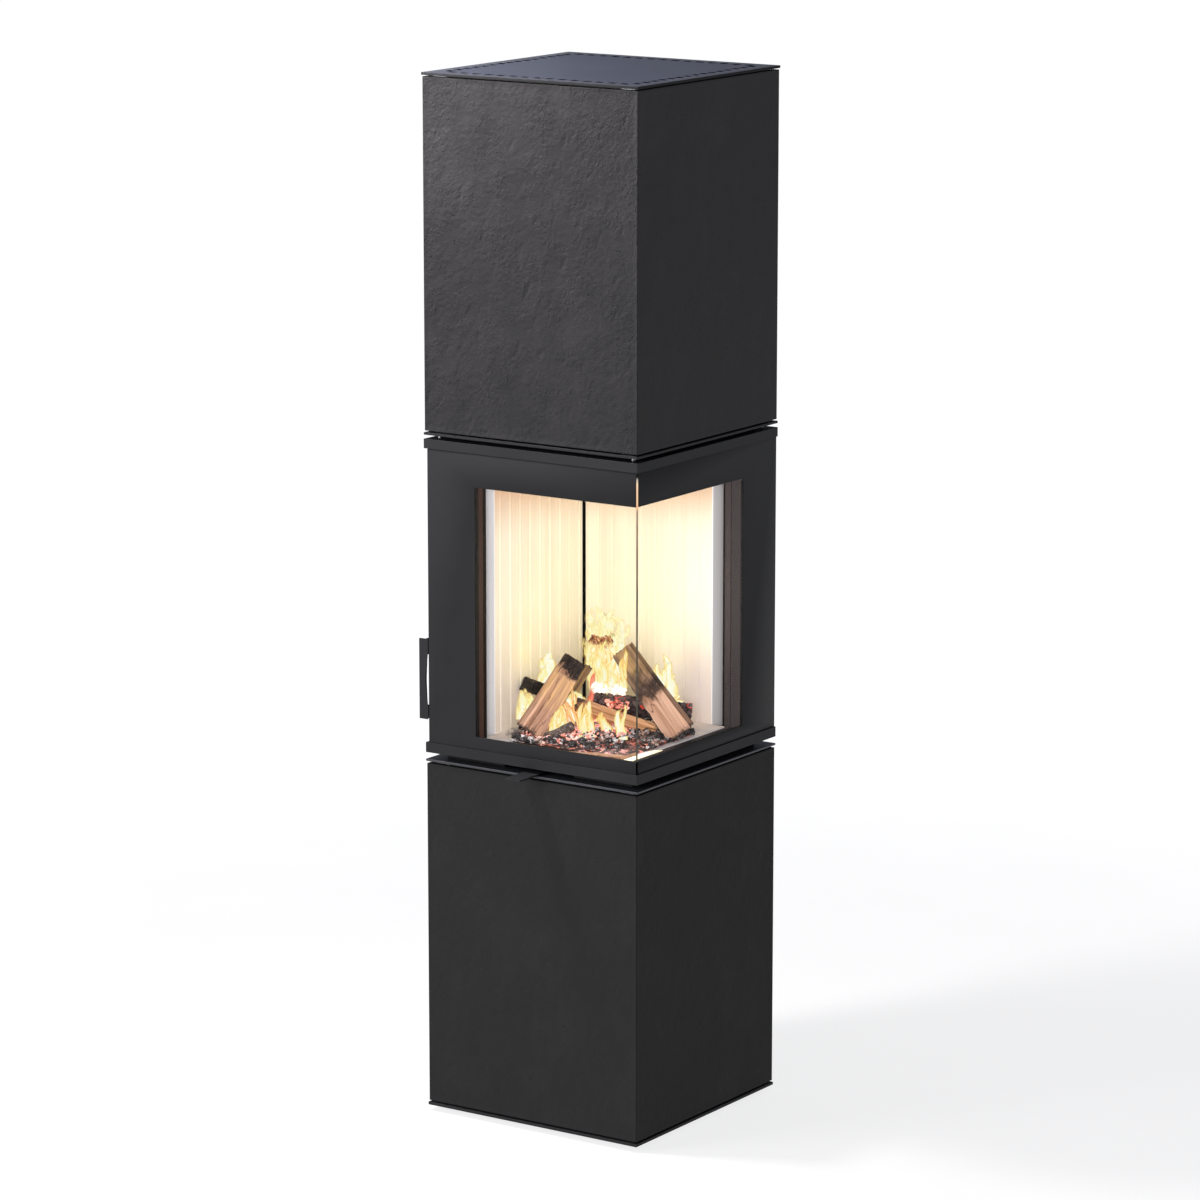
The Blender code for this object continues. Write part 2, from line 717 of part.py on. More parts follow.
def window_cutter(name, front, right, depth, grow, sill):
    # The window runs round the corner, so its cutter is an L with the frame's depth
    outline = corner_outline(
        WINDOW_LEFT - grow,
        front - CUT_OVERRUN,
        right + CUT_OVERRUN,
        WINDOW_REAR + grow,
        depth + 2 * CUT_OVERRUN,
    )
    return outline_cutter(name, [outline], sill, WINDOW_TOP + grow)


def make_door_frame(hinge):
    frame = outline_solid(
        "door_frame",
        [door_outline(DOOR_FRAME_LEFT, DOOR_REAR)],
        DOOR_BOTTOM,
        DOOR_TOP,
        "painted steel",
        hinge,
    )
    lug_front, lug_rear = LATCH_Y - LATCH_BOSS_RADIUS, LATCH_Y + LATCH_BOSS_RADIUS
    low_top = HANDLE_BOTTOM - SEAT_GAP
    high_bottom = HANDLE_TOP + SEAT_GAP
    for side, bottom in (("bottom", low_top - LUG_HEIGHT), ("top", high_bottom)):
        low = (DOOR_LEFT, lug_front, bottom)
        high = (DOOR_FRAME_LEFT + CUT_OVERRUN, lug_rear, bottom + LUG_HEIGHT)
        add(frame, cutter_block(f"latch_lug_{side}", low, high))
    cut(
        frame,
        window_cutter(
            "door_window",
            DOOR_FRAME_FRONT,
            DOOR_FRAME_RIGHT,
            DOOR_FRAME_DEPTH,
            0,
            DOOR_SILL_TOP,
        ),
        latch_bore("lug_bore"),
        pin_hole("door_socket_bottom", DOOR_BOTTOM, DOOR_BOTTOM + HINGE_PIN_REACH),
        pin_hole("door_socket_top", DOOR_TOP, DOOR_TOP - HINGE_PIN_REACH),
    )


def latch_bore(name):
    radius = hole_around(LATCH_SHAFT_RADIUS, SMALL_SIDES)
    bottom = HANDLE_BOTTOM - LUG_HEIGHT - CUT_OVERRUN
    top = HANDLE_TOP + LUG_HEIGHT + CUT_OVERRUN
    return cutter_drum(name, LATCH_X, LATCH_Y, bottom, top, radius, SMALL_SIDES)


def make_glass(hinge):
    inner = DOOR_RIGHT - GLASS_THICKNESS
    low = (DOOR_LEFT, DOOR_FRONT, DOOR_BOTTOM)
    high = (inner - SEAT_GAP, DOOR_FRONT + GLASS_THICKNESS, DOOR_TOP)
    block("glass_front", low, high, "glass", hinge)
    low = (inner, DOOR_FRONT, DOOR_BOTTOM)
    block("glass_side", low, (DOOR_RIGHT, DOOR_REAR, DOOR_TOP), "glass", hinge)


def make_door_seal(hinge):
    front = DOOR_FRAME_FRONT + DOOR_FRAME_DEPTH + SEAT_GAP
    right = DOOR_FRAME_RIGHT - DOOR_FRAME_DEPTH - SEAT_GAP
    depth = SEAL_SPACE - 2 * SEAT_GAP
    grow = SEAL_MARGIN + SEAL_WIDTH
    outline = corner_outline(WINDOW_LEFT - grow, front, right, WINDOW_REAR + grow, depth)
    bottom = DOOR_BOTTOM + SEAL_FOOT
    seal = outline_solid("door_seal", [outline], bottom, WINDOW_TOP + grow, "rope", hinge)
    sill = bottom + SEAL_WIDTH
    cut(seal, window_cutter("seal_window", front, right, depth, SEAL_MARGIN, sill))


def make_hinge_pin(name, bottom, top):
    profile = [(0, top), (HINGE_PIN_RADIUS, top), (HINGE_PIN_RADIUS, bottom), (0, bottom)]
    pin = place(name, turned_mesh(name, profile), (HINGE_X, HINGE_Y, 0), "bare steel")
    turn(pin, SMALL_SIDES)


def make_hinge_pins():
    make_hinge_pin("hinge_pin_bottom", HEARTH_TOP - HINGE_PIN_SEAT, DOOR_BOTTOM + HINGE_PIN_REACH)
    make_hinge_pin("hinge_pin_top", DOOR_TOP - HINGE_PIN_REACH, CROWN_BOTTOM + HINGE_PIN_SEAT)


def handle_section():
    edge = DOOR_LEFT - HANDLE_EDGE_GAP
    outer = -PLAN_HALF - HANDLE_REACH
    front, back = -PLAN_HALF, -PLAN_HALF + HANDLE_PLATE
    slant = edge - HANDLE_EDGE_SLANT
    web = slant - HANDLE_WEB
    web_front, web_back = LATCH_Y - HANDLE_WEB_FRONT, LATCH_Y + HANDLE_WEB_BACK
    return [
        (edge, front),
        (outer, front),
        (outer, back),
        (web, back),
        (web, web_back),
        (LATCH_X, web_back),
        (LATCH_X, web_front),
        (slant, web_front),
        (slant, back),
    ]


def finger_slot_outline():
    # In the front plane: straight on the right, bowed to the left along an arc
    edge = DOOR_LEFT - FINGER_SLOT_EDGE
    half = FINGER_SLOT_HEIGHT / 2
    radius = (half * half + FINGER_SLOT_BOW * FINGER_SLOT_BOW) / (2 * FINGER_SLOT_BOW)
    spread = asin(half / radius)
    middle = HANDLE_BOTTOM + FINGER_SLOT_RISE + half
    centre = edge - FINGER_SLOT_BOW + radius
    right = LATCH_X + LATCH_BOSS_RADIUS + CUT_OVERRUN
    points = [(right, middle - half), (right, middle + half)]
    for k in range(FINGER_SLOT_STEPS + 1):
        angle = spread * (1 - 2 * k / FINGER_SLOT_STEPS)
        points.append((centre - radius * cos(angle), middle + radius * sin(angle)))
    return points


def make_handle(latch):
    bottom, top = HANDLE_BOTTOM, HANDLE_TOP
    plate = outline_solid(
        "handle_plate", [handle_section()], bottom, top, "painted steel", latch
    )
    boss = circle(LATCH_X, LATCH_Y, LATCH_BOSS_RADIUS, SMALL_SIDES)
    add(plate, outline_cutter("handle_boss", [boss], bottom, top))
    mesh = outline_mesh("finger_slot", [finger_slot_outline()], PLAN_HALF)
    slot = place_cutter("finger_slot", mesh, (0, LATCH_Y, 0))
    slot.rotation_euler.x = pi / 2
    slot_bottom = bottom + FINGER_SLOT_RISE
    low = (-PLAN_HALF - HANDLE_REACH, -PLAN_HALF + HANDLE_PLATE, slot_bottom)
    rear = LATCH_Y + LATCH_BOSS_RADIUS + CUT_OVERRUN
    high = (LATCH_X + PLAN_HALF, rear, slot_bottom + FINGER_SLOT_HEIGHT)
    cut(plate, slot, cutter_block("grip_relief", low, high), latch_bore("handle_bore"))


def make_latch(latch):
    low = HANDLE_BOTTOM - SEAT_GAP - LUG_HEIGHT - SEAT_GAP
    high = HANDLE_TOP + SEAT_GAP + LUG_HEIGHT + SEAT_GAP
    profile = [
        (0, high + LATCH_HEAD_THICKNESS),
        (LATCH_BOSS_RADIUS, high + LATCH_HEAD_THICKNESS),
        (LATCH_BOSS_RADIUS, high),
        (LATCH_SHAFT_RADIUS, high),
        (LATCH_SHAFT_RADIUS, low),
        (LATCH_BOSS_RADIUS, low),
        (LATCH_BOSS_RADIUS, low - LATCH_HEAD_THICKNESS),
        (0, low - LATCH_HEAD_THICKNESS),
    ]
    mesh = turned_mesh("latch_shaft", profile)
    turn(place("latch_shaft", mesh, (LATCH_X, LATCH_Y, 0), "bare steel", latch), SMALL_SIDES)
    half, rear = HOOK_ARM_WIDTH / 2, LATCH_Y + HOOK_REACH
    barb_front = rear - HOOK_BARB_THICKNESS
    arm = [
        (LATCH_X - half, LATCH_Y),
        (LATCH_X + half, LATCH_Y),
        (LATCH_X + half, barb_front),
        (LATCH_X + half + HOOK_BARB, barb_front),
        (LATCH_X + half + HOOK_BARB, rear),
        (LATCH_X - half, rear),
    ]
    bottom, top = HOOK_MIDDLE - HOOK_THICKNESS / 2, HOOK_MIDDLE + HOOK_THICKNESS / 2
    hook = outline_solid("latch_hook", [arm], bottom, top, "bare steel", latch)
    boss = circle(LATCH_X, LATCH_Y, LATCH_BOSS_RADIUS, SMALL_SIDES)
    cut(add(hook, outline_cutter("hook_boss", [boss], bottom, top)), latch_bore("hook_bore"))


def make_strike():
    # A bracket on the firebox frame's left end, with a lip in front of the hook's barb
    lip_rear = LATCH_Y + HOOK_REACH - HOOK_BARB_THICKNESS - STRIKE_PLAY
    lip_front = lip_rear - STRIKE_LIP
    right = FIREBOX_FRAME_LEFT - SEAT_GAP
    left = right - STRIKE_LIP_REACH
    outline = [
        (left, lip_front),
        (right, lip_front),
        (right, lip_front + STRIKE_DEPTH),
        (right - STRIKE_WALL, lip_front + STRIKE_DEPTH),
        (right - STRIKE_WALL, lip_rear),
        (left, lip_rear),
    ]
    half = STRIKE_HEIGHT / 2
    outline_solid("strike_plate", [outline], HOOK_MIDDLE - half, HOOK_MIDDLE + half, "bare steel")


def make_firebox_frame():
    outline = corner_outline(
        FIREBOX_FRAME_LEFT,
        FIREBOX_FRAME_FRONT,
        FIREBOX_FRAME_RIGHT,
        FIREBOX_FRAME_REAR,
        FIREBOX_FRAME_DEPTH,
    )
    frame = outline_solid("firebox_frame", [outline], SHELL_BOTTOM, SHELL_TOP, "firebox steel")
    cut(
        frame,
        window_cutter(
            "frame_window",
            FIREBOX_FRAME_FRONT,
            FIREBOX_FRAME_RIGHT,
            FIREBOX_FRAME_DEPTH,
            FRAME_WINDOW_MARGIN,
            FRAME_SILL_TOP,
        ),
    )


def make_firebox_shell():
    # A box that is open to the front and to the right
    low = (SHELL_LEFT, SHELL_FRONT, SHELL_BOTTOM)
    high = (SHELL_RIGHT, SHELL_BACK, SHELL_TOP)
    shell = block("firebox_shell", low, high, "firebox steel")
    left, back = SHELL_LEFT + SHELL_WALL, SHELL_BACK - SHELL_WALL
    bottom, top = SHELL_BOTTOM + SHELL_WALL, SHELL_TOP - SHELL_WALL
    low = (left, SHELL_FRONT - CUT_OVERRUN, bottom)
    high = (SHELL_RIGHT + CUT_OVERRUN, back, top)
    flue_bore = FLUE_RADIUS - FLUE_WALL
    cut(
        shell,
        cutter_block("firebox_cavity", low, high),
        cutter_drum(
            "air_entry", 0, 0, SHELL_BOTTOM - CUT_OVERRUN, bottom + CUT_OVERRUN, GRATE_AIR_RADIUS
        ),
        cutter_drum("flue_exit", 0, FLUE_Y, top - CUT_OVERRUN, SHELL_TOP + CUT_OVERRUN, flue_bore),
    )


def make_casing():
    bottom, top = HEARTH_TOP + SEAT_GAP, CROWN_BOTTOM - SEAT_GAP
    left = -PLAN_HALF + CASING_INSET
    rear = PLAN_HALF - CASING_REAR_INSET
    low = (left, -PLAN_HALF + CASING_FRONT_INSET, bottom)
    high = (left + CASING_WALL, rear - CASING_WALL - SEAT_GAP, top)
    block("casing_left", low, high, "painted steel")
    low = (left, rear - CASING_WALL, bottom)
    block("casing_back", low, (PLAN_HALF - CASING_END_INSET, rear, top), "painted steel")


def ribbed_edge(length):
    # Points along a face of this length, with grooves at an even pitch from its middle
    count = int(length / RIB_PITCH)
    start = (length - (count - 1) * RIB_PITCH) / 2
    half = RIB_GROOVE_WIDTH / 2
    points = [(0, 0)]
    for k in range(count):
        along = start + k * RIB_PITCH
        points += [(along - half, 0), (along - half, RIB_GROOVE_DEPTH)]
        points += [(along + half, RIB_GROOVE_DEPTH), (along + half, 0)]
    return points + [(length, 0)]


def make_lining():
    rear = LINING_BACK + FIRECLAY_THICKNESS
    length = rear - LINING_FRONT
    left_loop = [(LINING_LEFT - deep, LINING_FRONT + along) for along, deep in ribbed_edge(length)]
    left_loop += [(LINING_LEFT - FIRECLAY_THICKNESS, rear)]
    left_loop += [(LINING_LEFT - FIRECLAY_THICKNESS, LINING_FRONT)]
    outline_solid("fireclay_left", [left_loop], LINING_BOTTOM, LINING_TOP, "fireclay")
    start = LINING_LEFT + LINING_JOINT
    length = LINING_RIGHT - start
    back_loop = [(start + along, LINING_BACK + deep) for along, deep in ribbed_edge(length)]
    back_loop += [(LINING_RIGHT, rear), (start, rear)]
    outline_solid("fireclay_back", [back_loop], LINING_BOTTOM, LINING_TOP, "fireclay")


def make_hearth_slab():
    left, rear = LINING_LEFT + SEAT_GAP, LINING_BACK - SEAT_GAP
    half = GRATE_SIDE / 2
    loops = [
        rectangle(left, SHELL_FRONT, SHELL_RIGHT, rear),
        rectangle(-half, -half, half, half),
    ]
    outline_solid("fireclay_floor", loops, LINING_BOTTOM, FLOOR_TOP, "fireclay")
    half -= SEAT_GAP
    loops = [rectangle(-half, -half, half, half)]
    inner = half - GRATE_BORDER
    pitch = 2 * inner / GRATE_SLOTS
    for k in range(GRATE_SLOTS):
        middle = -inner + pitch * (k + 1 / 2)
        width = GRATE_SLOT_WIDTH / 2
        loops.append(rectangle(middle - width, -inner, middle + width, inner))
    top = LINING_BOTTOM + GRATE_THICKNESS
    outline_solid("floor_grate", loops, LINING_BOTTOM, top, "cast iron")


def make_baffle():
    left, rear = SHELL_LEFT + SHELL_WALL + SEAT_GAP, SHELL_BACK - SHELL_WALL - SEAT_GAP
    span = (SHELL_RIGHT - left) * BAFFLE_SHARE
    high = (left + span, rear, BAFFLE_TOP)
    block("baffle_plate", (left, rear - span, BAFFLE_BOTTOM), high, "fireclay")


def vent_loops(reach, width):
    # One slot on the left and one at the rear, each this far from the middle
    half, near, far = VENT_LENGTH / 2, reach - width / 2, reach + width / 2
    return [rectangle(-far, -half, -near, half), rectangle(-half, near, half, far)]


def spacer_loops():
    reach = PLAN_HALF - SPACER_INSET
    return [
        circle(x * reach, y * reach, SPACER_RADIUS, SMALL_SIDES)
        for x in (-1, 1)
        for y in (-1, 1)
    ]


def make_crown():
    flue = circle(0, FLUE_Y, hole_around(FLUE_RADIUS, ROUND_SIDES), ROUND_SIDES)
    neck_inner = PLAN_HALF - UPPER_NECK_INSET - NECK_WALL
    vents = vent_loops((neck_inner + SHELL_BACK) / 2, CROWN_VENT_WIDTH)
    loops = [plan_square(), flue, *vents]
    crown = outline_solid("crown_plate", loops, CROWN_BOTTOM, CROWN_TOP, "painted steel")
    cut(crown, pin_hole("hinge_seat_top", CROWN_BOTTOM, CROWN_BOTTOM + HINGE_PIN_SEAT))
    # The four spacers are welded to the crown and carry the upper box
    for k, loop in enumerate(spacer_loops()):
        low, high = CROWN_TOP - CUT_OVERRUN, UPPER_BASE_BOTTOM - SEAT_GAP
        add(crown, outline_cutter(f"spacer_{k}", [loop], low, high))
    outline_solid(
        "upper_neck",
        neck_loops(UPPER_NECK_INSET),
        CROWN_TOP + SEAT_GAP,
        UPPER_BASE_BOTTOM - SEAT_GAP,
        "painted steel",
    )
    outline_solid(
        "upper_base_plate", loops, UPPER_BASE_BOTTOM, UPPER_BASE_TOP, "painted steel"
    )


def flue_route(overrun):
    # Up from the firebox, round a quarter bend and out towards the rear
    bend_z = FLUE_OUTLET_HEIGHT - FLUE_BEND_RADIUS
    bend_y = FLUE_Y + FLUE_BEND_RADIUS
    points = [(0, FLUE_Y, SHELL_TOP + SEAT_GAP - overrun)]
    for k in range(FLUE_BEND_STEPS + 1):
        angle = pi / 2 * k / FLUE_BEND_STEPS
        y = bend_y - FLUE_BEND_RADIUS * cos(angle)
        points.append((0, y, bend_z + FLUE_BEND_RADIUS * sin(angle)))
    return points + [(0, FLUE_REAR + overrun, FLUE_OUTLET_HEIGHT)]


def tube_mesh(name, route, radius, sides):
    # A round tube along the route, as a bevelled curve turned into a mesh
    curve = bpy.data.curves.new(name, "CURVE")
    curve.dimensions = "3D"
    curve.bevel_depth = radius
    curve.bevel_resolution = sides // 2 - 2
    curve.use_fill_caps = True
    spline = curve.splines.new("POLY")
    spline.points.add(len(route) - 1)
    for point, place_on_route in zip(spline.points, route):
        point.co = (*place_on_route, 1)
    holder = bpy.data.objects.new(name + "_curve", curve)
    bpy.context.scene.collection.objects.link(holder)
    bpy.context.view_layer.update()
    graph = bpy.context.evaluated_depsgraph_get()
    mesh = bpy.data.meshes.new_from_object(holder.evaluated_get(graph))
    bpy.data.objects.remove(holder, do_unlink=True)
    bm = bmesh.new()
    bm.from_mesh(mesh)
    bmesh.ops.remove_doubles(bm, verts=bm.verts, dist=MERGE_DISTANCE)
    bm.to_mesh(mesh)
    bm.free()
    smooth_rounds(mesh)
    mesh.name = name
    return mesh


def make_flue_pipe():
    outer = tube_mesh("flue_pipe", flue_route(0), FLUE_RADIUS, ROUND_SIDES)
    pipe = place("flue_pipe", outer, (0, 0, 0), "galvanised steel")
    inner = tube_mesh("flue_bore", flue_route(CUT_OVERRUN), FLUE_RADIUS - FLUE_WALL, ROUND_SIDES)
    cut(pipe, place_cutter("flue_bore", inner, (0, 0, 0)))


def make_top_plate():
    reach = PLAN_HALF - TOP_SLOT_INSET
    long, wide = TOP_SLOT_LENGTH / 2, TOP_SLOT_WIDTH / 2
    loops = [plan_square()]
    count = int(2 * reach / TOP_SLOT_PITCH)
    for k in range(count):
        along = (k - (count - 1) / 2) * TOP_SLOT_PITCH
        for across in (-reach, reach):
            loops.append(
                rectangle(along - long, across - wide, along + long, across + wide)
            )
            loops.append(
                rectangle(across - wide, along - long, across + wide, along + long)
            )
    outline_solid("top_plate", loops, TOP_BOTTOM, TOP_TOP, "top plate steel")


def fire_place(along, across, up):
    # From shares of the hearth's width, on axes turned to face the corner of the glass
    x = along * cos(FIRE_FACING) - across * sin(FIRE_FACING)
    y = along * sin(FIRE_FACING) + across * cos(FIRE_FACING)
    centre = Vector((HEARTH_X, HEARTH_Y, FLOOR_TOP + SEAT_GAP))
    return centre + Vector((x, y, up)) * HEARTH_WIDTH


def log_mesh(name, length, radius, grow):
    # A split log: a round bark side and two flat faces that meet in an edge
    wide = radius * grow
    section = [(-wide * LOG_HEART_SHARE, 0)]
    for k in range(LOG_BARK_STEPS + 1):
        angle = LOG_BARK_ANGLE * (2 * k / LOG_BARK_STEPS - 1)
        section.append((wide * cos(angle), wide * sin(angle)))
    return outline_mesh(name, [section], length * grow)


def lay_log(obj, start, end, roll):
    span = end - start
    lean = Matrix.Rotation(atan2(hypot(span.x, span.y), span.z), 3, "Y")
    heading = Matrix.Rotation(atan2(span.y, span.x), 3, "Z")
    spin = Matrix.Rotation(2 * pi * roll, 3, "Z")
    obj.location = (start + end) / 2
    obj.rotation_euler = (heading @ lean @ spin).to_euler()


def make_fire():
    bed = place("ember_bed", bed_mesh(), fire_place(0, BED_OFFSET_SHARE, 0), "charcoal")
    bed.rotation_euler.z = FIRE_FACING
    for name, (start, end, radius, roll) in LOG_SHARES.items():
        start, end = fire_place(*start), fire_place(*end)
        length, radius = (end - start).length, radius * HEARTH_WIDTH
        finish = "charcoal" if name in ("log_charred", "log_back") else "split wood"
        log = place(name, log_mesh(name, length, radius, 1), (0, 0, 0), finish)
        lay_log(log, start, end, roll)
        mesh = log_mesh(name + "_seat", length, radius, LOG_SEAT_SHARE)
        seat = place_cutter(name + "_seat", mesh, (0, 0, 0))
        lay_log(seat, start, end, roll)
        cut(bed, seat)


def bed_mesh():
    # A low heap with a flat underside, each lump of it a little in or out
    lumps = random.Random(5)
    half_length = BED_LENGTH_SHARE * HEARTH_WIDTH / 2
    half_depth = BED_DEPTH_SHARE * HEARTH_WIDTH / 2
    height = BED_HEIGHT_SHARE * HEARTH_WIDTH
    bm = bmesh.new()
    bmesh.ops.create_uvsphere(bm, u_segments=BED_SIDES, v_segments=BED_RINGS, radius=1)
    geometry = bm.verts[:] + bm.edges[:] + bm.faces[:]
    bmesh.ops.bisect_plane(
        bm, geom=geometry, plane_co=(0, 0, 0), plane_no=(0, 0, -1), clear_outer=True
    )
    rim = [edge for edge in bm.edges if edge.is_boundary]
    bmesh.ops.holes_fill(bm, edges=rim)
    for vertex in bm.verts:
        swell = 1 + BED_LUMP_SHARE * lumps.uniform(-1, 1)
        vertex.co.x *= half_length * swell
        vertex.co.y *= half_depth * swell
        vertex.co.z *= height * swell
    bmesh.ops.recalc_face_normals(bm, faces=bm.faces)
    return mesh_from("ember_bed", bm)


def build():
    make_feet()
    make_base_plate()
    make_posts("lower", BASE_TOP, LID_BOTTOM)
    make_cladding("lower", LOWER_CLADDING_BOTTOM, LOWER_CLADDING_TOP)
    make_back_panel(
        "lower", LOWER_CLADDING_BOTTOM, LOWER_CLADDING_TOP, AIR_INLET_HEIGHT, AIR_INLET_RADIUS
    )
    make_collar("air_inlet_spigot", AIR_INLET_RADIUS, AIR_INLET_REACH, AIR_INLET_HEIGHT)
    make_lid()
    make_lower_neck()
    make_hearth_plate()
    make_air_control()
    make_air_bolt()
    make_firebox_frame()
    make_firebox_shell()
    make_casing()
    make_lining()
    make_hearth_slab()
    make_baffle()
    make_fire()
    make_hinge_pins()
    make_strike()
    hinge = pivot("door_hinge", (HINGE_X, HINGE_Y, DOOR_BOTTOM))
    make_door_frame(hinge)
    make_glass(hinge)
    make_door_seal(hinge)
    latch = pivot("latch_pivot", (LATCH_X, LATCH_Y, HANDLE_BOTTOM))
    make_handle(latch)
    make_latch(latch)
    make_crown()
    make_posts("upper", UPPER_BASE_TOP, TOP_BOTTOM)
    make_cladding("upper", UPPER_CLADDING_BOTTOM, UPPER_CLADDING_TOP)
    make_back_panel(
        "upper", UPPER_CLADDING_BOTTOM, UPPER_CLADDING_TOP, FLUE_OUTLET_HEIGHT, FLUE_RADIUS
    )
    make_flue_pipe()
    make_collar("flue_collar", FLUE_RADIUS, COLLAR_REACH, FLUE_OUTLET_HEIGHT)
    make_top_plate()


clear_scene()
PARTS = new_collection("wood_stove")
CUTTERS = new_collection("cutters")
build()
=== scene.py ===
# The wood stove as it looks: painted steel, stone panels, corner glass and a burning fire

import json
import math
import random
import bpy
import bmesh
from bmesh.types import BMEdge, BMFace, BMVert
from mathutils import Matrix, Vector, noise


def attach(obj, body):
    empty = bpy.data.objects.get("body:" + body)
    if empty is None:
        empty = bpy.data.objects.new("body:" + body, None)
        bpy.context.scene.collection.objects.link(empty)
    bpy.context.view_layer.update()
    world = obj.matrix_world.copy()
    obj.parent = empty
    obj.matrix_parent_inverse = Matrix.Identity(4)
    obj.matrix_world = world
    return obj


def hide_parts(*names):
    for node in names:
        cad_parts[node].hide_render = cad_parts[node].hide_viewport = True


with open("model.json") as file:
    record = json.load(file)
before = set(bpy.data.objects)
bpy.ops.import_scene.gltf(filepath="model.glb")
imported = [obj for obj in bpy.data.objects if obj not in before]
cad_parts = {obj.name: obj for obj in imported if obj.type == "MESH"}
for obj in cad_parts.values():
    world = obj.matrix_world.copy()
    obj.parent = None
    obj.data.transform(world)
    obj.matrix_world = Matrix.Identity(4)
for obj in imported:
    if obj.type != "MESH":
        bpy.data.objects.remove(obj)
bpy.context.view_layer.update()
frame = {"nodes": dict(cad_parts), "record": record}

nodes = frame["nodes"]
upright = Matrix.Rotation(math.radians(90), 4, "X")  # a flat sheet's face turned to the front


def quarter(degrees):
    return Matrix.Rotation(math.radians(degrees), 4, "Z")


def rectangle(left, right, low, high):
    return [(left, low), (right, low), (right, high), (left, high)]


# small helpers for pieces
def addPiece(name, bm, materials):
    mesh = bpy.data.meshes.new(name)
    bm.to_mesh(mesh)
    bm.free()
    for material in materials:
        mesh.materials.append(material)
    piece = bpy.data.objects.new(name, mesh)
    bpy.context.scene.collection.objects.link(piece)
    return piece


def finishPiece(name, bm, materials, body, replaced=(), smoothAngle=None):
    bmesh.ops.recalc_face_normals(bm, faces=bm.faces)
    for face in bm.faces:
        face.smooth = smoothAngle is not None
    piece = addPiece(name, bm, materials)
    if smoothAngle is not None:
        piece.data.set_sharp_from_angle(angle=math.radians(smoothAngle))
    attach(piece, body)
    if replaced:
        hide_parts(*replaced)


def only(kind, items):
    return [item for item in items if isinstance(item, kind)]


def drawOut(bm, faces, shift):
    # the faces pulled out along shift; returns all that is new
    drawn = bmesh.ops.extrude_face_region(bm, geom=faces)["geom"]
    bmesh.ops.translate(bm, vec=shift, verts=only(BMVert, drawn))
    return drawn


def softenEdges(bm, width, angle, above=-math.inf):
    sharp = [edge for edge in bm.edges if edge.calc_face_angle(0) > math.radians(angle)
             and max(vert.co.z for vert in edge.verts) > above]
    bmesh.ops.bevel(bm, geom=sharp, offset=width, segments=2, profile=0.5, affect="EDGES", material=-1)


def wave(x, y, z):
    return noise.noise(Vector((x, y, z)))


# small helpers for node trees: a socket knows the tree it belongs to
def setInputs(node, values):
    # links the sockets among the values and sets the plain ones
    for key, value in values.items():
        socket = node.inputs[key]
        if isinstance(value, bpy.types.NodeSocket):
            node.id_data.links.new(value, socket)
        elif value is not None:
            socket.default_value = (*value[:3], 1) if socket.type == "RGBA" else value


def addNode(tree, kind, inputs=None, **settings):
    node = tree.nodes.new(kind)
    for key, value in settings.items():
        setattr(node, key, value)
    setInputs(node, inputs or {})
    return node


def objectPlace(tree, turn=(0, 0, 0), shift=(0, 0, 0)):
    coords = addNode(tree, "ShaderNodeTexCoord").outputs["Object"]
    return addNode(tree, "ShaderNodeMapping", {
        "Vector": coords, "Rotation": turn, "Location": shift}).outputs["Vector"]


def startMaterial(name, **placing):
    material = bpy.data.materials.new(name)
    material.use_nodes = True
    return material, objectPlace(material.node_tree, **placing)


def dressed(material, values):
    setInputs(material.node_tree.nodes["Principled BSDF"], values)
    return material


def axesOf(vector):
    return addNode(vector.id_data, "ShaderNodeSeparateXYZ", {0: vector}).outputs


def scaled(place, scale):
    return addNode(place.id_data, "ShaderNodeVectorMath", {0: place, 1: scale}, operation="MULTIPLY").outputs[0]


def noiseAt(place, scale, detail=4.0, rough=0.55, distort=0.0):
    return addNode(place.id_data, "ShaderNodeTexNoise", {
        "Vector": place, "Scale": scale, "Detail": detail,
        "Roughness": rough, "Distortion": distort}).outputs["Fac"]


def streaksAt(place, stretch, detail=4.0, rough=0.55, distort=0.0):
    # noise drawn out by different scales along the three axes
    return noiseAt(scaled(place, stretch), 1.0, detail, rough, distort)


def cellsAt(place, scale, feature="F1", jitter=1.0):
    return addNode(place.id_data, "ShaderNodeTexVoronoi", {
        "Vector": place, "Scale": scale, "Randomness": jitter}, feature=feature)


def ramp(factor, stops):
    node = addNode(factor.id_data, "ShaderNodeValToRGB", {"Fac": factor})
    elements = node.color_ramp.elements
    elements.remove(elements[1])
    elements[0].position = stops[0][0]
    for position, colour in stops[1:]:
        elements.new(position)
    for element, (position, colour) in zip(elements, stops):
        value = colour if isinstance(colour, tuple) else (colour, colour, colour)
        element.color = (*value, 1)
    return node.outputs["Color"]


def mixed(factor, first, second, blend="MIX"):
    return addNode(factor.id_data, "ShaderNodeMix", data_type="RGBA", blend_type=blend, inputs={
        0: factor, 6: first, 7: second}).outputs[2]


def maths(operation, *values):
    tree = only(bpy.types.NodeSocket, values)[0].id_data
    return addNode(tree, "ShaderNodeMath", dict(enumerate(values)), operation=operation).outputs[0]


def times(first, *others):
    for other in others:
        first = maths("MULTIPLY", first, other)
    return first


def timesAdd(first, share, second):
    return maths("MULTIPLY_ADD", first, share, second)


def blended(first, share, second, otherShare):
    # both with their share, added
    return timesAdd(first, share, times(second, otherShare))


def less(first, second):
    return maths("SUBTRACT", first, second)


def swayed(value, amount, pattern):
    # a value pushed up and down by a pattern around 0.5
    return timesAdd(less(pattern, 0.5), amount, value)


def spread(factor, low, high, toLow=0.0, toHigh=1.0, kind="LINEAR"):
    return addNode(factor.id_data, "ShaderNodeMapRange", {
        0: factor, 1: low, 2: high, 3: toLow, 4: toHigh}, interpolation_type=kind).outputs[0]


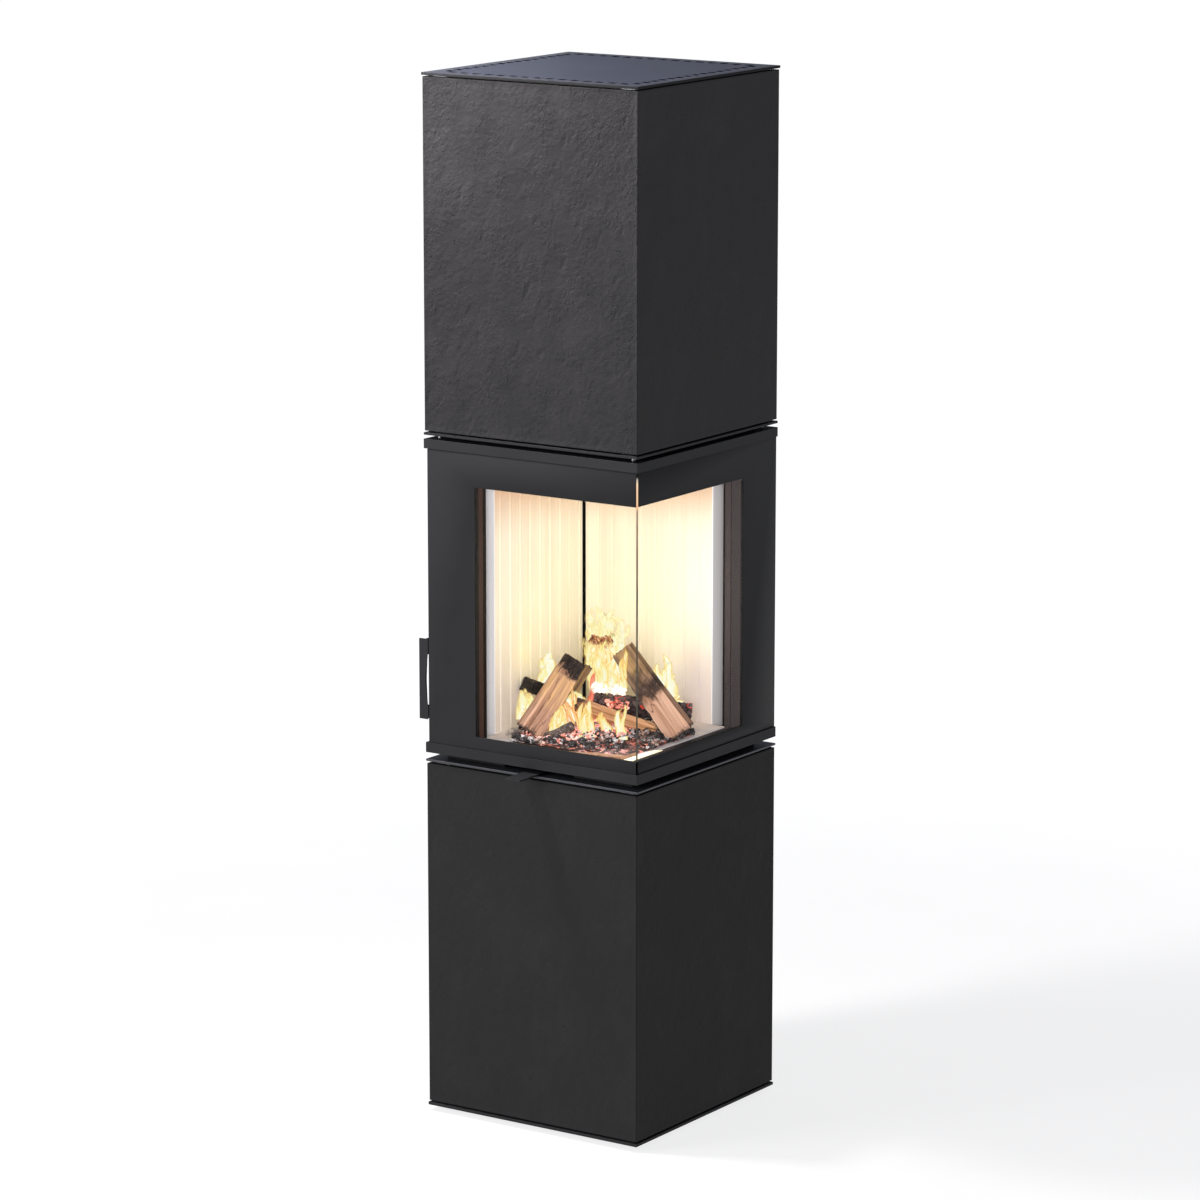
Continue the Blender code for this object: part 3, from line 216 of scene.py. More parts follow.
def eased(factor, low, high, toLow=0.0, toHigh=1.0):
    return spread(factor, low, high, toLow, toHigh, "SMOOTHSTEP")


def bump(height, strength, distance, below=None):
    return addNode(height.id_data, "ShaderNodeBump", {
        "Height": height, "Strength": strength, "Distance": distance, "Normal": below}).outputs["Normal"]


# finishes
paintLook = {"dark": (0.020, 0.020, 0.0212), "light": (0.027, 0.027, 0.0285), "rough": (0.48, 0.58),
             "grain": 1100, "grainBump": 0.16, "grainDepth": 0.0002, "sheen": 0.08}
bandLook = {"dark": (0.0186, 0.0186, 0.0198), "light": (0.0226, 0.0226, 0.0240), "rough": (0.46, 0.52),
            "grain": 700, "grainBump": 0.05, "grainDepth": 0.0001, "sheen": 0.08}
# the plate's blue is partly painted reflection of the bluish surroundings; the slots' wall colour is painted shade
plateLook = {"dark": (0.023, 0.0255, 0.037), "light": (0.031, 0.0345, 0.049), "rough": (0.34, 0.42),
             "grain": 900, "grainBump": 0.10, "grainDepth": 0.0002, "sheen": 0.18,
             "rim": (0.036, 0.038, 0.048), "rimFrom": (0.2030, 0.2035), "edge": (0.028, 0.028, 0.029),
             "edgeFrom": (0.219, 0.220), "slot": (0.002, 0.002, 0.003)}


def paintCoat(name, look):
    # the grain and gloss of a painted or blue-tinted sheet; its colour comes back for the finish to use
    material, place = startMaterial(name)
    clouds = noiseAt(place, 7, 5, 0.6)
    specks = noiseAt(place, look["grain"], 2)
    dressed(material, {"Roughness": spread(clouds, 0.3, 0.7, *look["rough"]),
                       "Normal": bump(specks, look["grainBump"], look["grainDepth"])})
    colour = ramp(timesAdd(specks, 0.35, clouds), [(0.45, look["dark"]), (0.85, look["light"])])
    return material, place, colour


def paintedFinish(name, look):
    material, place, colour = paintCoat(name, look)
    return dressed(material, {"Base Color": colour, "Specular IOR Level": look["sheen"]})


def topPlateFinish(name, look):
    # dark plate whose top faces carry a blue tint, partly painted reflection of the bluish surroundings; its upright
    # faces stay dark: the outer edge dull, the slots' walls black with painted shade
    material, place, colour = paintCoat(name, look)
    axes = axesOf(place)
    reach = maths("MAXIMUM", maths("ABSOLUTE", axes["X"]), maths("ABSOLUTE", axes["Y"]))
    lift = axesOf(addNode(material.node_tree, "ShaderNodeNewGeometry").outputs["Normal"])["Z"]
    level = spread(maths("ABSOLUTE", lift), 0.35, 0.90)
    # upright faces get no blue tint: near black with painted shade inside the slots, dull grey on the outer edge
    sides = mixed(spread(reach, *look["edgeFrom"]), look["slot"], look["edge"])
    top = mixed(spread(reach, *look["rimFrom"]), colour, look["rim"])
    return dressed(material, {"Base Color": mixed(level, sides, top),
                              "Specular IOR Level": times(level, look["sheen"])})


stoneLook = {"dark": (0.0190, 0.0181, 0.0190), "mid": (0.0250, 0.0239, 0.0250), "light": (0.0352, 0.0336, 0.0350),
             "pitShade": (0.006, 0.0058, 0.0060), "rough": (0.58, 0.80), "tooth": (1.0, 0.0031), "dimple": (1.0, 0.0013),
             "patch": (0.42, 0.60, 0.35)}
# the side slabs' stone: a lighter copy of the front stone, painted light that makes up for the dimmer light on the
# sides, with softer relief
sideStoneBrightenedLook = {**stoneLook, "dark": (0.0206, 0.0197, 0.0207), "mid": (0.0279, 0.0267, 0.0280),
                 "light": (0.0392, 0.0374, 0.0392), "tooth": (0.6, 0.0011), "dimple": (0.6, 0.0008)}
lowStoneLook = {"dark": (0.0158, 0.0153, 0.0155), "mid": (0.0196, 0.0190, 0.0194), "light": (0.0253, 0.0245, 0.0251),
                "pitShade": (0.009, 0.0086, 0.0087), "rough": (0.60, 0.80), "tooth": (0.6, 0.0010),
                "dimple": (0.6, 0.0012), "patch": (0.42, 0.60, 0.70)}


def stoneFinish(name, look, warmth=1.0):
    material, place = startMaterial(name)
    clouds = noiseAt(place, 5.5, 6, 0.62, 0.6)
    drift = noiseAt(scaled(place, (1.0, 1.0, 0.45)), 22, 5, 0.6, 0.4)
    grain = noiseAt(place, 260, 4, 0.7)
    slantwise = objectPlace(material.node_tree, turn=(0, math.radians(-24), 0))
    tooth = noiseAt(scaled(slantwise, (1.0, 1.0, 0.80)), 150, 3, 0.7, 0.3)
    dimples = noiseAt(scaled(slantwise, (1.0, 1.0, 0.72)), 58, 4, 0.65, 0.5)
    pits = cellsAt(place, 120)
    tone = swayed(blended(drift, 0.45, clouds, 0.55), 0.26, tooth)
    dark = tuple(value * share for value, share in zip(look["dark"], (warmth, 1, 2 - warmth)))
    base = ramp(tone, [(0.34, dark), (0.50, look["mid"]), (0.68, look["light"])])
    # pits: their darker colour is painted shade in the hollows; they also sink into the relief below
    hollow = spread(pits.outputs["Distance"], 0.08, 0.24, 1.0, 0.0)
    pitted = times(hollow, spread(noiseAt(place, 34, 2), 0.60, 0.68, 0.0, 0.85))
    # the cleft face: slantwise dimples, a fine tooth over them, sharp pits here and there
    soft = bump(dimples, *look["dimple"])
    patchLow, patchHigh, least = look["patch"]
    patchy = times(tooth, spread(noiseAt(place, 13, 3, 0.6), patchLow, patchHigh, least))
    cleft = less(timesAdd(grain, 0.2, patchy), times(pitted, 0.4))
    return dressed(material, {
        "Base Color": mixed(pitted, base, look["pitShade"]),
        "Roughness": spread(tone, 0.35, 0.65, *look["rough"]),
        "Specular IOR Level": 0.12,
        "Normal": bump(cleft, *look["tooth"], soft)})


def brushedFinish(name, colours, rough, stretch):
    # bare metal with fine lines along one way and a few duller clouds
    material, place = startMaterial(name)
    lines = streaksAt(place, stretch, 4, 0.65)
    clouds = noiseAt(place, 30, 4, 0.6)
    return dressed(material, {
        "Base Color": ramp(clouds, [(0.35, colours[0]), (0.65, colours[1])]),
        "Roughness": spread(lines, 0.3, 0.7, *rough),
        "Normal": bump(lines, 0.15, 0.0002),
        "Metallic": 1.0})


def spangledFinish(name, dark, light):
    # zinc crystals on galvanised sheet
    material, place = startMaterial(name)
    wobble = noiseAt(place, 60, 2)
    flakes = cellsAt(place, 130)
    tone = timesAdd(wobble, 0.4, addNode(place.id_data, "ShaderNodeRGBToBW", {
        0: flakes.outputs["Color"]}).outputs[0])
    return dressed(material, {
        "Base Color": ramp(tone, [(0.35, dark), (0.95, light)]),
        "Roughness": spread(tone, 0.3, 1.0, 0.34, 0.52),
        "Normal": bump(wobble, 0.08, 0.0003),
        "Metallic": 0.85})


def firedFinish(name, colours, rough, grain):
    # steel and iron that live in the heat: scale, soot and faint tempering clouds
    material, place = startMaterial(name)
    clouds = noiseAt(place, 11, 6, 0.62, 0.5)
    scale = noiseAt(place, grain, 4, 0.7)
    tone = blended(scale, 0.3, clouds, 0.8)
    stops = [(0.38, colours[0]), (0.55, colours[1]), (0.72, colours[2])]
    return dressed(material, {
        "Base Color": ramp(tone, stops),
        "Roughness": spread(tone, 0.35, 0.75, *rough),
        "Normal": bump(tone, 0.35, 0.0006),
        "Metallic": 0.5})


jambLook = {"dark": (0.048, 0.039, 0.038), "light": (0.080, 0.066, 0.064), "brown": (0.088, 0.050, 0.035),
            "leftGlow": (0.048, 0.020, 0.013), "plainGlow": (0.030, 0.024, 0.025),
            "shade": (0.009, 0.006, 0.005), "left": (-0.1375, -0.1355, -0.1290, -0.1275), "leftEnd": -0.1212}


def jambFinish(name, look):
    # firebox frame: painted fire light in brown on the left upright, painted shade beside it and nearly black in its
    # return, and a faint painted glow on the rest
    material, place = startMaterial(name)
    streaks = streaksAt(place, (260, 260, 6), 4, 0.6)
    clouds = noiseAt(place, 40, 4, 0.6)
    tone = blended(streaks, 0.5, clouds, 0.5)
    across = axesOf(place)["X"]
    outer, inner, turn, end = look["left"]
    plain = ramp(tone, [(0.35, look["dark"]), (0.65, look["light"])])
    # the left upright: painted shadow of the glass band, then its face in painted fire light, then its return in
    # painted shade
    warm = mixed(spread(tone, 0.35, 0.65, 0.0, 0.35), look["brown"], look["shade"])
    strip = mixed(spread(across, outer, inner), look["shade"], warm)
    strip = mixed(spread(across, turn, end), strip, look["shade"])
    beyond = spread(across, look["leftEnd"], look["leftEnd"] + 0.001)
    within = times(spread(across, outer, inner), spread(across, turn, end, 1.0, 0.0))
    # painted glow that stands in for the fire's light: stronger on the left upright's face, faint on the rest of the
    # frame
    glow = mixed(times(within, spread(tone, 0.30, 0.65, 1.0, 0.5)), (0, 0, 0), look["leftGlow"])
    return dressed(material, {
        "Base Color": mixed(beyond, strip, plain),
        "Emission Color": mixed(beyond, glow, look["plainGlow"]),
        "Emission Strength": 1.0,
        "Roughness": spread(tone, 0.35, 0.65, 0.55, 0.72),
        "Normal": bump(tone, 0.35, 0.0005),
        "Specular IOR Level": 0.15})


clayLook = {"clean": (0.94, 0.90, 0.74), "worn": (0.88, 0.82, 0.66), "sootAndShade": (0.78, 0.69, 0.68),
            "paintedTopGlow": (0.76, 0.52, 0.34), "tintFrom": 1.03, "tintTo": 1.16,
            "corner": (-0.1255, 0.1255), "shadeFar": (0.12, 0.25), "leftWall": (-0.1200, -0.1000, 0.55),
            "end": (0.93, 0.92, 0.92), "shadeTop": 0.92, "shadeBottom": 0.73, "endY": -0.1505, "endX": 0.1505}


def clayFinish(name, look):
    # light fireboard: fine vertical press lines, pale wear, a warm cream and a peach top that are partly painted fire
    # light, and painted shade near the floor
    material, place = startMaterial(name)
    lines = streaksAt(place, (150, 150, 2.2), 5, 0.6)
    broad = streaksAt(place, (28, 28, 1.6), 4, 0.55)
    crumbs = noiseAt(place, 420, 3, 0.7)
    tone = blended(lines, 0.45, broad, 0.55)
    # the warm cream of the boards is partly painted fire light
    base = ramp(tone, [(0.36, look["worn"]), (0.56, look["clean"])])
    axes = axesOf(place)
    low = eased(axes["Z"], look["shadeBottom"], look["shadeTop"], 0.9, 0.0)
    # painted shade: darker low down and away from the corner where the fire burns, weaker on the left wall than on
    # the back wall
    walk = less(less(axes["X"], look["corner"][0]), less(axes["Y"], look["corner"][1]))
    paintedShade = times(low, spread(broad, 0.30, 0.62, 0.55), eased(walk, *look["shadeFar"], 0.12),
                  spread(axes["X"], *look["leftWall"]))
    base = mixed(paintedShade, base, look["sootAndShade"])
    # painted fire light: a peach tint towards the top of the walls
    base = mixed(eased(axes["Z"], look["tintFrom"], look["tintTo"]), base, look["paintedTopGlow"])
    # the boards' cut end faces are paler and greyer than their fire side, whose warm tint is partly painted fire
    # light
    cut = maths("MAXIMUM", spread(axes["Y"], look["endY"] - 0.001, look["endY"], 1.0, 0.0),
                spread(axes["X"], look["endX"], look["endX"] + 0.001))
    return dressed(material, {
        "Base Color": mixed(cut, base, look["end"]),
        "Roughness": 0.92,
        "Specular IOR Level": 0.15,
        "Normal": bump(timesAdd(crumbs, 0.5, lines), 0.35, 0.0006)})


slabLook = {"pale": (0.96, 0.92, 0.90), "ashy": (0.84, 0.78, 0.76), "sootAndShade": (0.035, 0.026, 0.022),
            "sootY": (-0.172, -0.168), "sootX": (-0.078, -0.064)}


def slabFinish(name, look):
    material, place = startMaterial(name)
    clouds = noiseAt(place, 34, 5, 0.6)
    crumbs = noiseAt(place, 380, 3, 0.7)
    axes = axesOf(place)
    base = ramp(blended(crumbs, 0.3, clouds, 0.7), [(0.38, look["ashy"]), (0.60, look["pale"])])
    ragged = swayed(axes["Y"], 0.03, clouds)
    burnt = times(spread(ragged, *look["sootY"], 1.0, 0.0), spread(axes["X"], *look["sootX"]))
    return dressed(material, {
        "Base Color": mixed(burnt, base, look["sootAndShade"]),
        "Roughness": 0.92,
        "Specular IOR Level": 0.15,
        "Normal": bump(crumbs, 0.4, 0.0006)})


def ropeFinish(name):
    material, place = startMaterial(name)
    twist = addNode(place.id_data, "ShaderNodeTexWave", {
        "Vector": place, "Scale": 120.0, "Distortion": 2.0, "Detail": 2.0}, bands_direction="DIAGONAL").outputs["Fac"]
    fluff = noiseAt(place, 700, 3, 0.7)
    tone = blended(fluff, 0.4, twist, 0.6)
    return dressed(material, {
        "Base Color": ramp(tone, [(0.2, (0.055, 0.052, 0.048)), (0.8, (0.24, 0.23, 0.215))]),
        "Normal": bump(tone, 0.8, 0.0012),
        "Roughness": 0.95})


print("finishes")
painted = paintedFinish("paintedSteel", paintLook)
bandPaint = paintedFinish("glassBandEnamel", bandLook)
blueTintPlate = topPlateFinish("topPlateSteel", plateLook)
stoneUpper = stoneFinish("upperStone", stoneLook)
stoneSideBrightened = stoneFinish("upperSideStoneBrightened", sideStoneBrightenedLook)
stoneLower = stoneFinish("lowerStone", lowStoneLook, 1.06)
bareSteel = brushedFinish("bareSteel", ((0.40, 0.40, 0.41), (0.52, 0.52, 0.53)), (0.25, 0.42), (40, 40, 900))
zincSheet = spangledFinish("zincSheet", (0.38, 0.39, 0.40), (0.62, 0.63, 0.65))
fireSteel = firedFinish("firedSteel", ((0.030, 0.026, 0.024), (0.055, 0.045, 0.038), (0.085, 0.066, 0.052)),
                        (0.50, 0.75), 300)
castIron = firedFinish("castIron", ((0.020, 0.019, 0.018), (0.045, 0.043, 0.041), (0.080, 0.074, 0.068)),
                       (0.62, 0.85), 520)
jambSteel = jambFinish("jambSteel", jambLook)
fireclay = clayFinish("fireboard", clayLook)
ropeSeal = ropeFinish("ropeSeal")

slotFinish = {"painted_steel": painted, "top_plate_steel": blueTintPlate, "textured_cladding": stoneUpper,
              "bare_steel": bareSteel, "galvanised_steel": zincSheet, "firebox_steel": fireSteel,
              "fireclay": fireclay, "cast_iron": castIron, "glass": bandPaint, "rope": ropeSeal,
              "split_wood": castIron, "charcoal": castIron}
returns = {"left": -0.1165, "front": (-0.2135, -0.2115), "leftGlow": (0.046, 0.0190, 0.0126),
           "rear": 0.116, "side": (0.1975, 0.1985), "rearGlow": (0.046, 0.036, 0.035), "near": (0.0004, 0.0012)}


def returnFinish(name, look):
    # the painted door frame, whose window returns glow with painted light that stands in for the fire's brown light
    material, place, colour = paintCoat(name, paintLook)
    axes = axesOf(place)

    def closeTo(axis, where):
        return spread(maths("ABSOLUTE", less(axes[axis], where)), *look["near"], 1.0, 0.0)

    left = times(closeTo("X", look["left"]), spread(axes["Y"], *look["front"]))
    rear = times(closeTo("Y", look["rear"]), spread(axes["X"], *look["side"]))
    glow = mixed(rear, mixed(left, (0, 0, 0), look["leftGlow"]), look["rearGlow"])
    return dressed(material, {"Base Color": colour, "Specular IOR Level": paintLook["sheen"],
                              "Emission Color": glow, "Emission Strength": 1.0})


lidLook = {"dark": (0.028, 0.029, 0.034), "light": (0.038, 0.040, 0.047), "rough": (0.36, 0.44),
           "grain": 900, "grainBump": 0.10, "grainDepth": 0.0002, "sheen": 0.35}
nodeFinish = {"firebox_frame": jambSteel, "door_frame": returnFinish("doorFramePaint", returns),
              "fireclay_floor": slabFinish("hearthSlab", slabLook), "lower_lid": paintedFinish("lidSteel", lidLook)}


# the CAD nodes keep their shapes; thin edges get a small round
edgeRound = {
    0.0004: ("lower_neck", "upper_neck"),
    0.0005: ("air_shutter", "latch_hook", "strike_plate"),
    0.0006: ("air_lever", "lower_back_panel", "upper_back_panel",
             *(f"{box}_post_{corner}" for box in ("lower", "upper")
               for corner in ("front_left", "front_right", "rear_left", "rear_right"))),
    0.0007: ("lower_lid", "door_frame", "firebox_frame"),
    0.0008: ("base_plate", "upper_base_plate", "floor_grate", "flue_collar", "air_inlet_spigot"),
    0.0009: ("handle_plate",),
    0.0010: ("fireclay_left", "fireclay_back"),
    0.0012: ("hearth_plate", "crown_plate", "baffle_plate", "fireclay_floor"),
    0.0014: ("door_seal",)}
roundOf = {name: width for width, names in edgeRound.items() for name in names}

slotOf = {entry["node"]: entry["material_slot"] for entry in frame["record"]["subparts"]}
for nodeName, node in nodes.items():
    finish = nodeFinish.get(nodeName) or slotFinish.get(slotOf.get(nodeName), painted)
    for holder in node.material_slots:
        holder.material = finish
    if not node.material_slots:
        node.data.materials.append(finish)
    if nodeName in roundOf:
        weld = node.modifiers.new("weld", "WELD")
        weld.merge_threshold = 0.00001
        rounding = node.modifiers.new("edges", "BEVEL")
        rounding.width = roundOf[nodeName]
        rounding.segments = 2
        rounding.limit_method = "ANGLE"
        rounding.angle_limit = math.radians(40)
        rounding.use_clamp_overlap = True


# stone panels of the two boxes
panel = {"outer": 0.2235, "inner": 0.2115, "mitreGap": 0.0002, "edge": 0.008, "arris": 0.0005,
         "upper": {"cell": 0.0026, "relief": 0.0024, "sideRelief": 0.0005},
         "lower": {"cell": 0.0034, "relief": 0.0013, "sideRelief": 0.0011}, "sideCell": 0.0046}
lowerHeights = (0.0185, 0.642)
upperHeights = (1.2405, 1.8605)


# each form's noise scale, or two of them, and its share of the depth
cleft = {"lean": (0.91, 0.41), "squash": 0.42, "broad": (11, 0.24), "dents": (34, 60, 0.32),
         "chips": (84, 80, 0.34), "chipFrom": 0.30, "chipGain": 2.4, "tooth": (150, 0.24)}


def cleftDepth(along, up, seed):
    # soft dents that lean to the right, short chips struck out of them and a fine tooth, 0 to 1
    straight, lean = cleft["lean"]
    slant = Vector((along * straight - up * lean, (up * straight + along * lean) * cleft["squash"], seed))
    (perBroad, broadShare), (perTooth, toothShare) = cleft["broad"], cleft["tooth"]
    (dentX, dentY, dentShare), (chipX, chipY, chipShare) = cleft["dents"], cleft["chips"]
    broad = noise.noise(slant * perBroad) * 0.5 + 0.5
    dents = wave(slant.x * dentX, slant.y * dentY, seed + 7) * 0.5 + 0.5
    chips = max(0.0, wave(slant.x * chipX, slant.y * chipY, seed + 4) - cleft["chipFrom"]) * cleft["chipGain"]
    tooth = wave(along * perTooth, up * perTooth, seed) * 0.5 + 0.5
    return min(1.0, max(0.0, broad * broadShare + dents * dentShare + chips * chipShare + tooth * toothShare))


def stonePanel(name, heights, turn, mitres, cell, relief, seed, finish, node):
    bottom, top = heights
    outer, inner = panel["outer"], panel["inner"]
    ends = [side * (outer - (panel["mitreGap"] if side in mitres else 0)) for side in (-1, 1)]
    width, height = ends[1] - ends[0], top - bottom
    bm = bmesh.new()
    bmesh.ops.create_grid(bm, x_segments=round(width / cell), y_segments=round(height / cell), size=0.5)
    bmesh.ops.scale(bm, vec=(width, height, 1), verts=bm.verts)
    bmesh.ops.translate(bm, vec=(sum(ends) / 2, 0, 0), verts=bm.verts)
    for vert in bm.verts:
        rim = min(vert.co.x - ends[0], ends[1] - vert.co.x, vert.co.y + height / 2, height / 2 - vert.co.y)
        ease = min(1.0, rim / panel["edge"])
        vert.co.z = -relief * ease * cleftDepth(vert.co.x, vert.co.y + bottom, seed)
    rimEdges = [edge for edge in bm.edges if edge.is_boundary]
    back = only(BMVert, bmesh.ops.extrude_edge_only(bm, edges=rimEdges)["geom"])
    bmesh.ops.translate(bm, vec=(0, 0, inner - outer), verts=back)
    for vert in back:
        for side in mitres:
            if vert.co.x * side > inner:
                vert.co.x = side * (inner - panel["mitreGap"])
    bmesh.ops.holes_fill(bm, edges=[edge for edge in bm.edges if edge.is_boundary])
    softenEdges(bm, panel["arris"], 40, above=-0.0005)
    bmesh.ops.translate(bm, vec=(0, (bottom + top) / 2, outer), verts=bm.verts)
    bmesh.ops.transform(bm, matrix=quarter(turn) @ upright, verts=bm.verts)
    finishPiece(name, bm, [finish], "stove", (node,), 40)


print("stone panels")
for level, heights, finish, sideFinish, seed in (("lower", lowerHeights, stoneLower, stoneLower, 2.0),
                                                 ("upper", upperHeights, stoneUpper, stoneSideBrightened, 9.0)):
    look, side = panel[level], (panel["sideCell"], panel[level]["sideRelief"])
    stonePanel(level + "StoneFront", heights, 0, (-1, 1), look["cell"], look["relief"], seed, finish,
               level + "_cladding_front")
    stonePanel(level + "StoneRight", heights, 90, (-1,), *side, seed + 20, sideFinish, level + "_cladding_right")
    stonePanel(level + "StoneLeft", heights, -90, (1,), *side, seed + 40, sideFinish, level + "_cladding_left")


# top plate with its dashed line of slots
slots = {"half": 0.225, "low": 1.863, "high": 1.8677, "row": 0.195, "pitch": 0.0256, "length": 0.0152,
         "width": 0.0140, "count": 15, "arris": 0.0004}


def slottedPlate():
    centres = [(step - (slots["count"] - 1) / 2) * slots["pitch"] for step in range(slots["count"])]
    bands = [side * slots["row"] + edge * slots["width"] / 2 for side in (-1, 1) for edge in (-1, 1)]
    ends = [centre + edge * slots["length"] / 2 for centre in centres for edge in (-1, 1)]
    bm = bmesh.new()
    bmesh.ops.create_grid(bm, x_segments=1, y_segments=1, size=slots["half"])
    bmesh.ops.translate(bm, vec=(0, 0, slots["high"]), verts=bm.verts)
    for cut in sorted(bands + ends):
        for point, across in (((cut, 0, 0), (1, 0, 0)), ((0, cut, 0), (0, 1, 0))):
            bmesh.ops.bisect_plane(bm, geom=bm.verts[:] + bm.edges[:] + bm.faces[:], dist=1e-6, plane_co=point,
                                   plane_no=across)

    def isSlot(x, y):
        inRow = abs(abs(y) - slots["row"]) < slots["width"] / 2
        return inRow and min(abs(x - centre) for centre in centres) < slots["length"] / 2

    middles = [(face, face.calc_center_median()) for face in bm.faces]
    holes = [face for face, middle in middles if isSlot(middle.x, middle.y) or isSlot(middle.y, middle.x)]
    bmesh.ops.delete(bm, geom=holes, context="FACES")
    drawOut(bm, bm.faces[:], (0, 0, slots["low"] - slots["high"]))
    softenEdges(bm, slots["arris"], 30)
    finishPiece("slottedTopPlate", bm, [blueTintPlate], "stove", ("top_plate",), 35)


print("top plate")
slottedPlate()

# dark strip seal that closes the gap between the top plate and the panels
topSeal = {"out": 0.2105, "in": 0.2050, "low": 1.8600, "high": 1.8632}
sealBody = bmesh.new()
for degrees in (0, 90, 180, 270):
    across, deep = topSeal["out"] + topSeal["in"], topSeal["out"] - topSeal["in"]
    seat = Matrix.Translation((-deep / 2, -across / 2, (topSeal["high"] + topSeal["low"]) / 2))
    size = Matrix.Diagonal((across, deep, topSeal["high"] - topSeal["low"], 1))
    bmesh.ops.create_cube(sealBody, size=1.0, matrix=quarter(degrees) @ seat @ size)
finishPiece("topStripSeal", sealBody, [ropeSeal], "stove")


# the door's corner glass: enamelled bands, clear panes and the bright corner edge
door = {"left": -0.2182, "right": 0.2228, "front": -0.2242, "rear": 0.224, "bottom": 0.681, "top": 1.2085,
        "glass": 0.005, "gap": 0.0003, "windowLeft": -0.1165, "windowRear": 0.116,
        "windowBottom": 0.703, "windowTop": 1.1495, "edgeDepth": 0.0004, "arris": 0.0006}


def clearFinish(name):
    material, place = startMaterial(name)
    haze = streaksAt(place, (9, 9, 5), 4, 0.6)
    return dressed(material, {
        "Base Color": ramp(haze, [(0.3, (0.02, 0.02, 0.021)), (0.7, (0.06, 0.06, 0.058))]),
        "Alpha": spread(haze, 0.35, 0.75, 0.008, 0.030),
        "Roughness": spread(haze, 0.3, 0.7, 0.03, 0.09),
        "Specular IOR Level": 0.6})


def cornerEdgeFinish(name):
    # the ground end of the front pane, which glows where the fire's light runs up inside it
    material, place = startMaterial(name)
    height = axesOf(place)["Z"]
    share = spread(height, door["bottom"], door["top"])
    ripple = streaksAt(place, (1, 1, 60), 3)
    glow = ramp(share, [(0.0, 0.0), (0.040, 0.0), (0.046, (0.10, 0.092, 0.075)),
                        (0.60, (0.12, 0.108, 0.086)), (0.87, (0.36, 0.27, 0.18)), (0.893, (1.0, 0.62, 0.36)),
                        (0.965, (1.0, 0.74, 0.52)), (0.979, (0.55, 0.47, 0.42)), (0.986, 0.012)])
    return dressed(material, {
        "Emission Color": mixed(spread(ripple, 0.3, 0.7, 0.0, 0.35), glow, (0.10, 0.085, 0.07), "SOFT_LIGHT"),
        "Emission Strength": 1.0,
        "Base Color": ramp(ripple, [(0.3, 0.001), (0.7, 0.003)]),
        "Roughness": 0.5,
        "Specular IOR Level": 0.0})


def flatPlate(outline, low, high, arris):
    # a plate from its outline in x and y, drawn up in z, with softened edges
    bm = bmesh.new()
    face = bm.faces.new([bm.verts.new((x, y, low)) for x, y in outline])
    drawOut(bm, [face], (0, 0, high - low))
    softenEdges(bm, arris, 30)
    return bm


def doorPane(name, outline, turn, face, finish, node):
    # outline in across and up; turn 0 is the front pane, 90 the side pane
    bm = flatPlate(outline, face - door["glass"], face, door["arris"])
    bmesh.ops.transform(bm, matrix=quarter(turn) @ upright, verts=bm.verts)
    finishPiece(name, bm, [finish], "door", (node,), 35)


def openBand(closedEnd, openEnd, window):
    bottom, top, low, high = (door[key] for key in ("bottom", "top", "windowBottom", "windowTop"))
    return [(closedEnd, bottom), (openEnd, bottom), (openEnd, low), (window, low),
            (window, high), (openEnd, high), (openEnd, top), (closedEnd, top)]


print("corner glass")
clearGlass = clearFinish("clearGlass")
seam = 0.0001  # between band, pane and edge bar
frontEnd = door["right"] - door["edgeDepth"] - seam
sideEnd = door["front"] + door["glass"] + door["gap"]
clearHeights = (door["windowBottom"] + seam, door["windowTop"] - seam)
for side, turn, face, closedEnd, openEnd, window, clearEnds in (
        ("front", 0, -door["front"], door["left"], frontEnd, door["windowLeft"],
         (door["windowLeft"] + seam, frontEnd)),
        ("side", 90, door["right"], door["rear"], sideEnd, door["windowRear"],
         (sideEnd, door["windowRear"] - seam))):
    doorPane(side + "GlassBand", openBand(closedEnd, openEnd, window), turn, face, bandPaint, "glass_" + side)
    doorPane(side + "Pane", rectangle(*clearEnds, *clearHeights), turn, face, clearGlass, "glass_" + side)
edgeOutline = rectangle(door["right"] - door["edgeDepth"], door["right"], door["front"],
                        door["front"] + door["glass"])
edgeBar = flatPlate(edgeOutline, door["bottom"], door["top"], 0.0001)
finishPiece("cornerGlassEdge", edgeBar, [cornerEdgeFinish("cornerGlassEdge")], "door", ("glass_front",), 35)


# trims of the firebox: the near-black cord in the lining's joint, which also stands in for the shade in the gap, and
# the stepped board near the glass corner
trim = {"cordX": (-0.1254, -0.1245), "cordY": (0.1225, 0.1320), "cordZ": (0.6944, 1.1618), "boardZ": 0.6943,
        "board": [(0.060, -0.1925), (0.1755, -0.1925), (0.1750, -0.1500), (0.1580, -0.1270), (0.1350, -0.1360),
                  (0.0950, -0.1830)],
        "strip": [(0.1765, -0.1925), (0.1932, -0.1925), (0.1932, -0.0960), (0.1800, -0.1060)],
        "step": [(0.118, -0.1925), (0.1750, -0.1925), (0.1750, -0.1640), (0.148, -0.1700)]}


def rustBoardFinish(name):
    material, place = startMaterial(name, turn=(0, 0, math.radians(-30)))
    grain = streaksAt(place, (20, 320, 320), 5, 0.6, 0.4)
    burns = noiseAt(place, 46, 4, 0.6)
    tone = blended(grain, 0.5, burns, 0.5)
    return dressed(material, {
        "Base Color": ramp(tone, [(0.36, (0.14, 0.066, 0.034)), (0.50, (0.38, 0.20, 0.11)),
                                  (0.64, (0.62, 0.39, 0.25))]),
        "Normal": bump(grain, 0.4, 0.0005),
        "Roughness": 0.6})


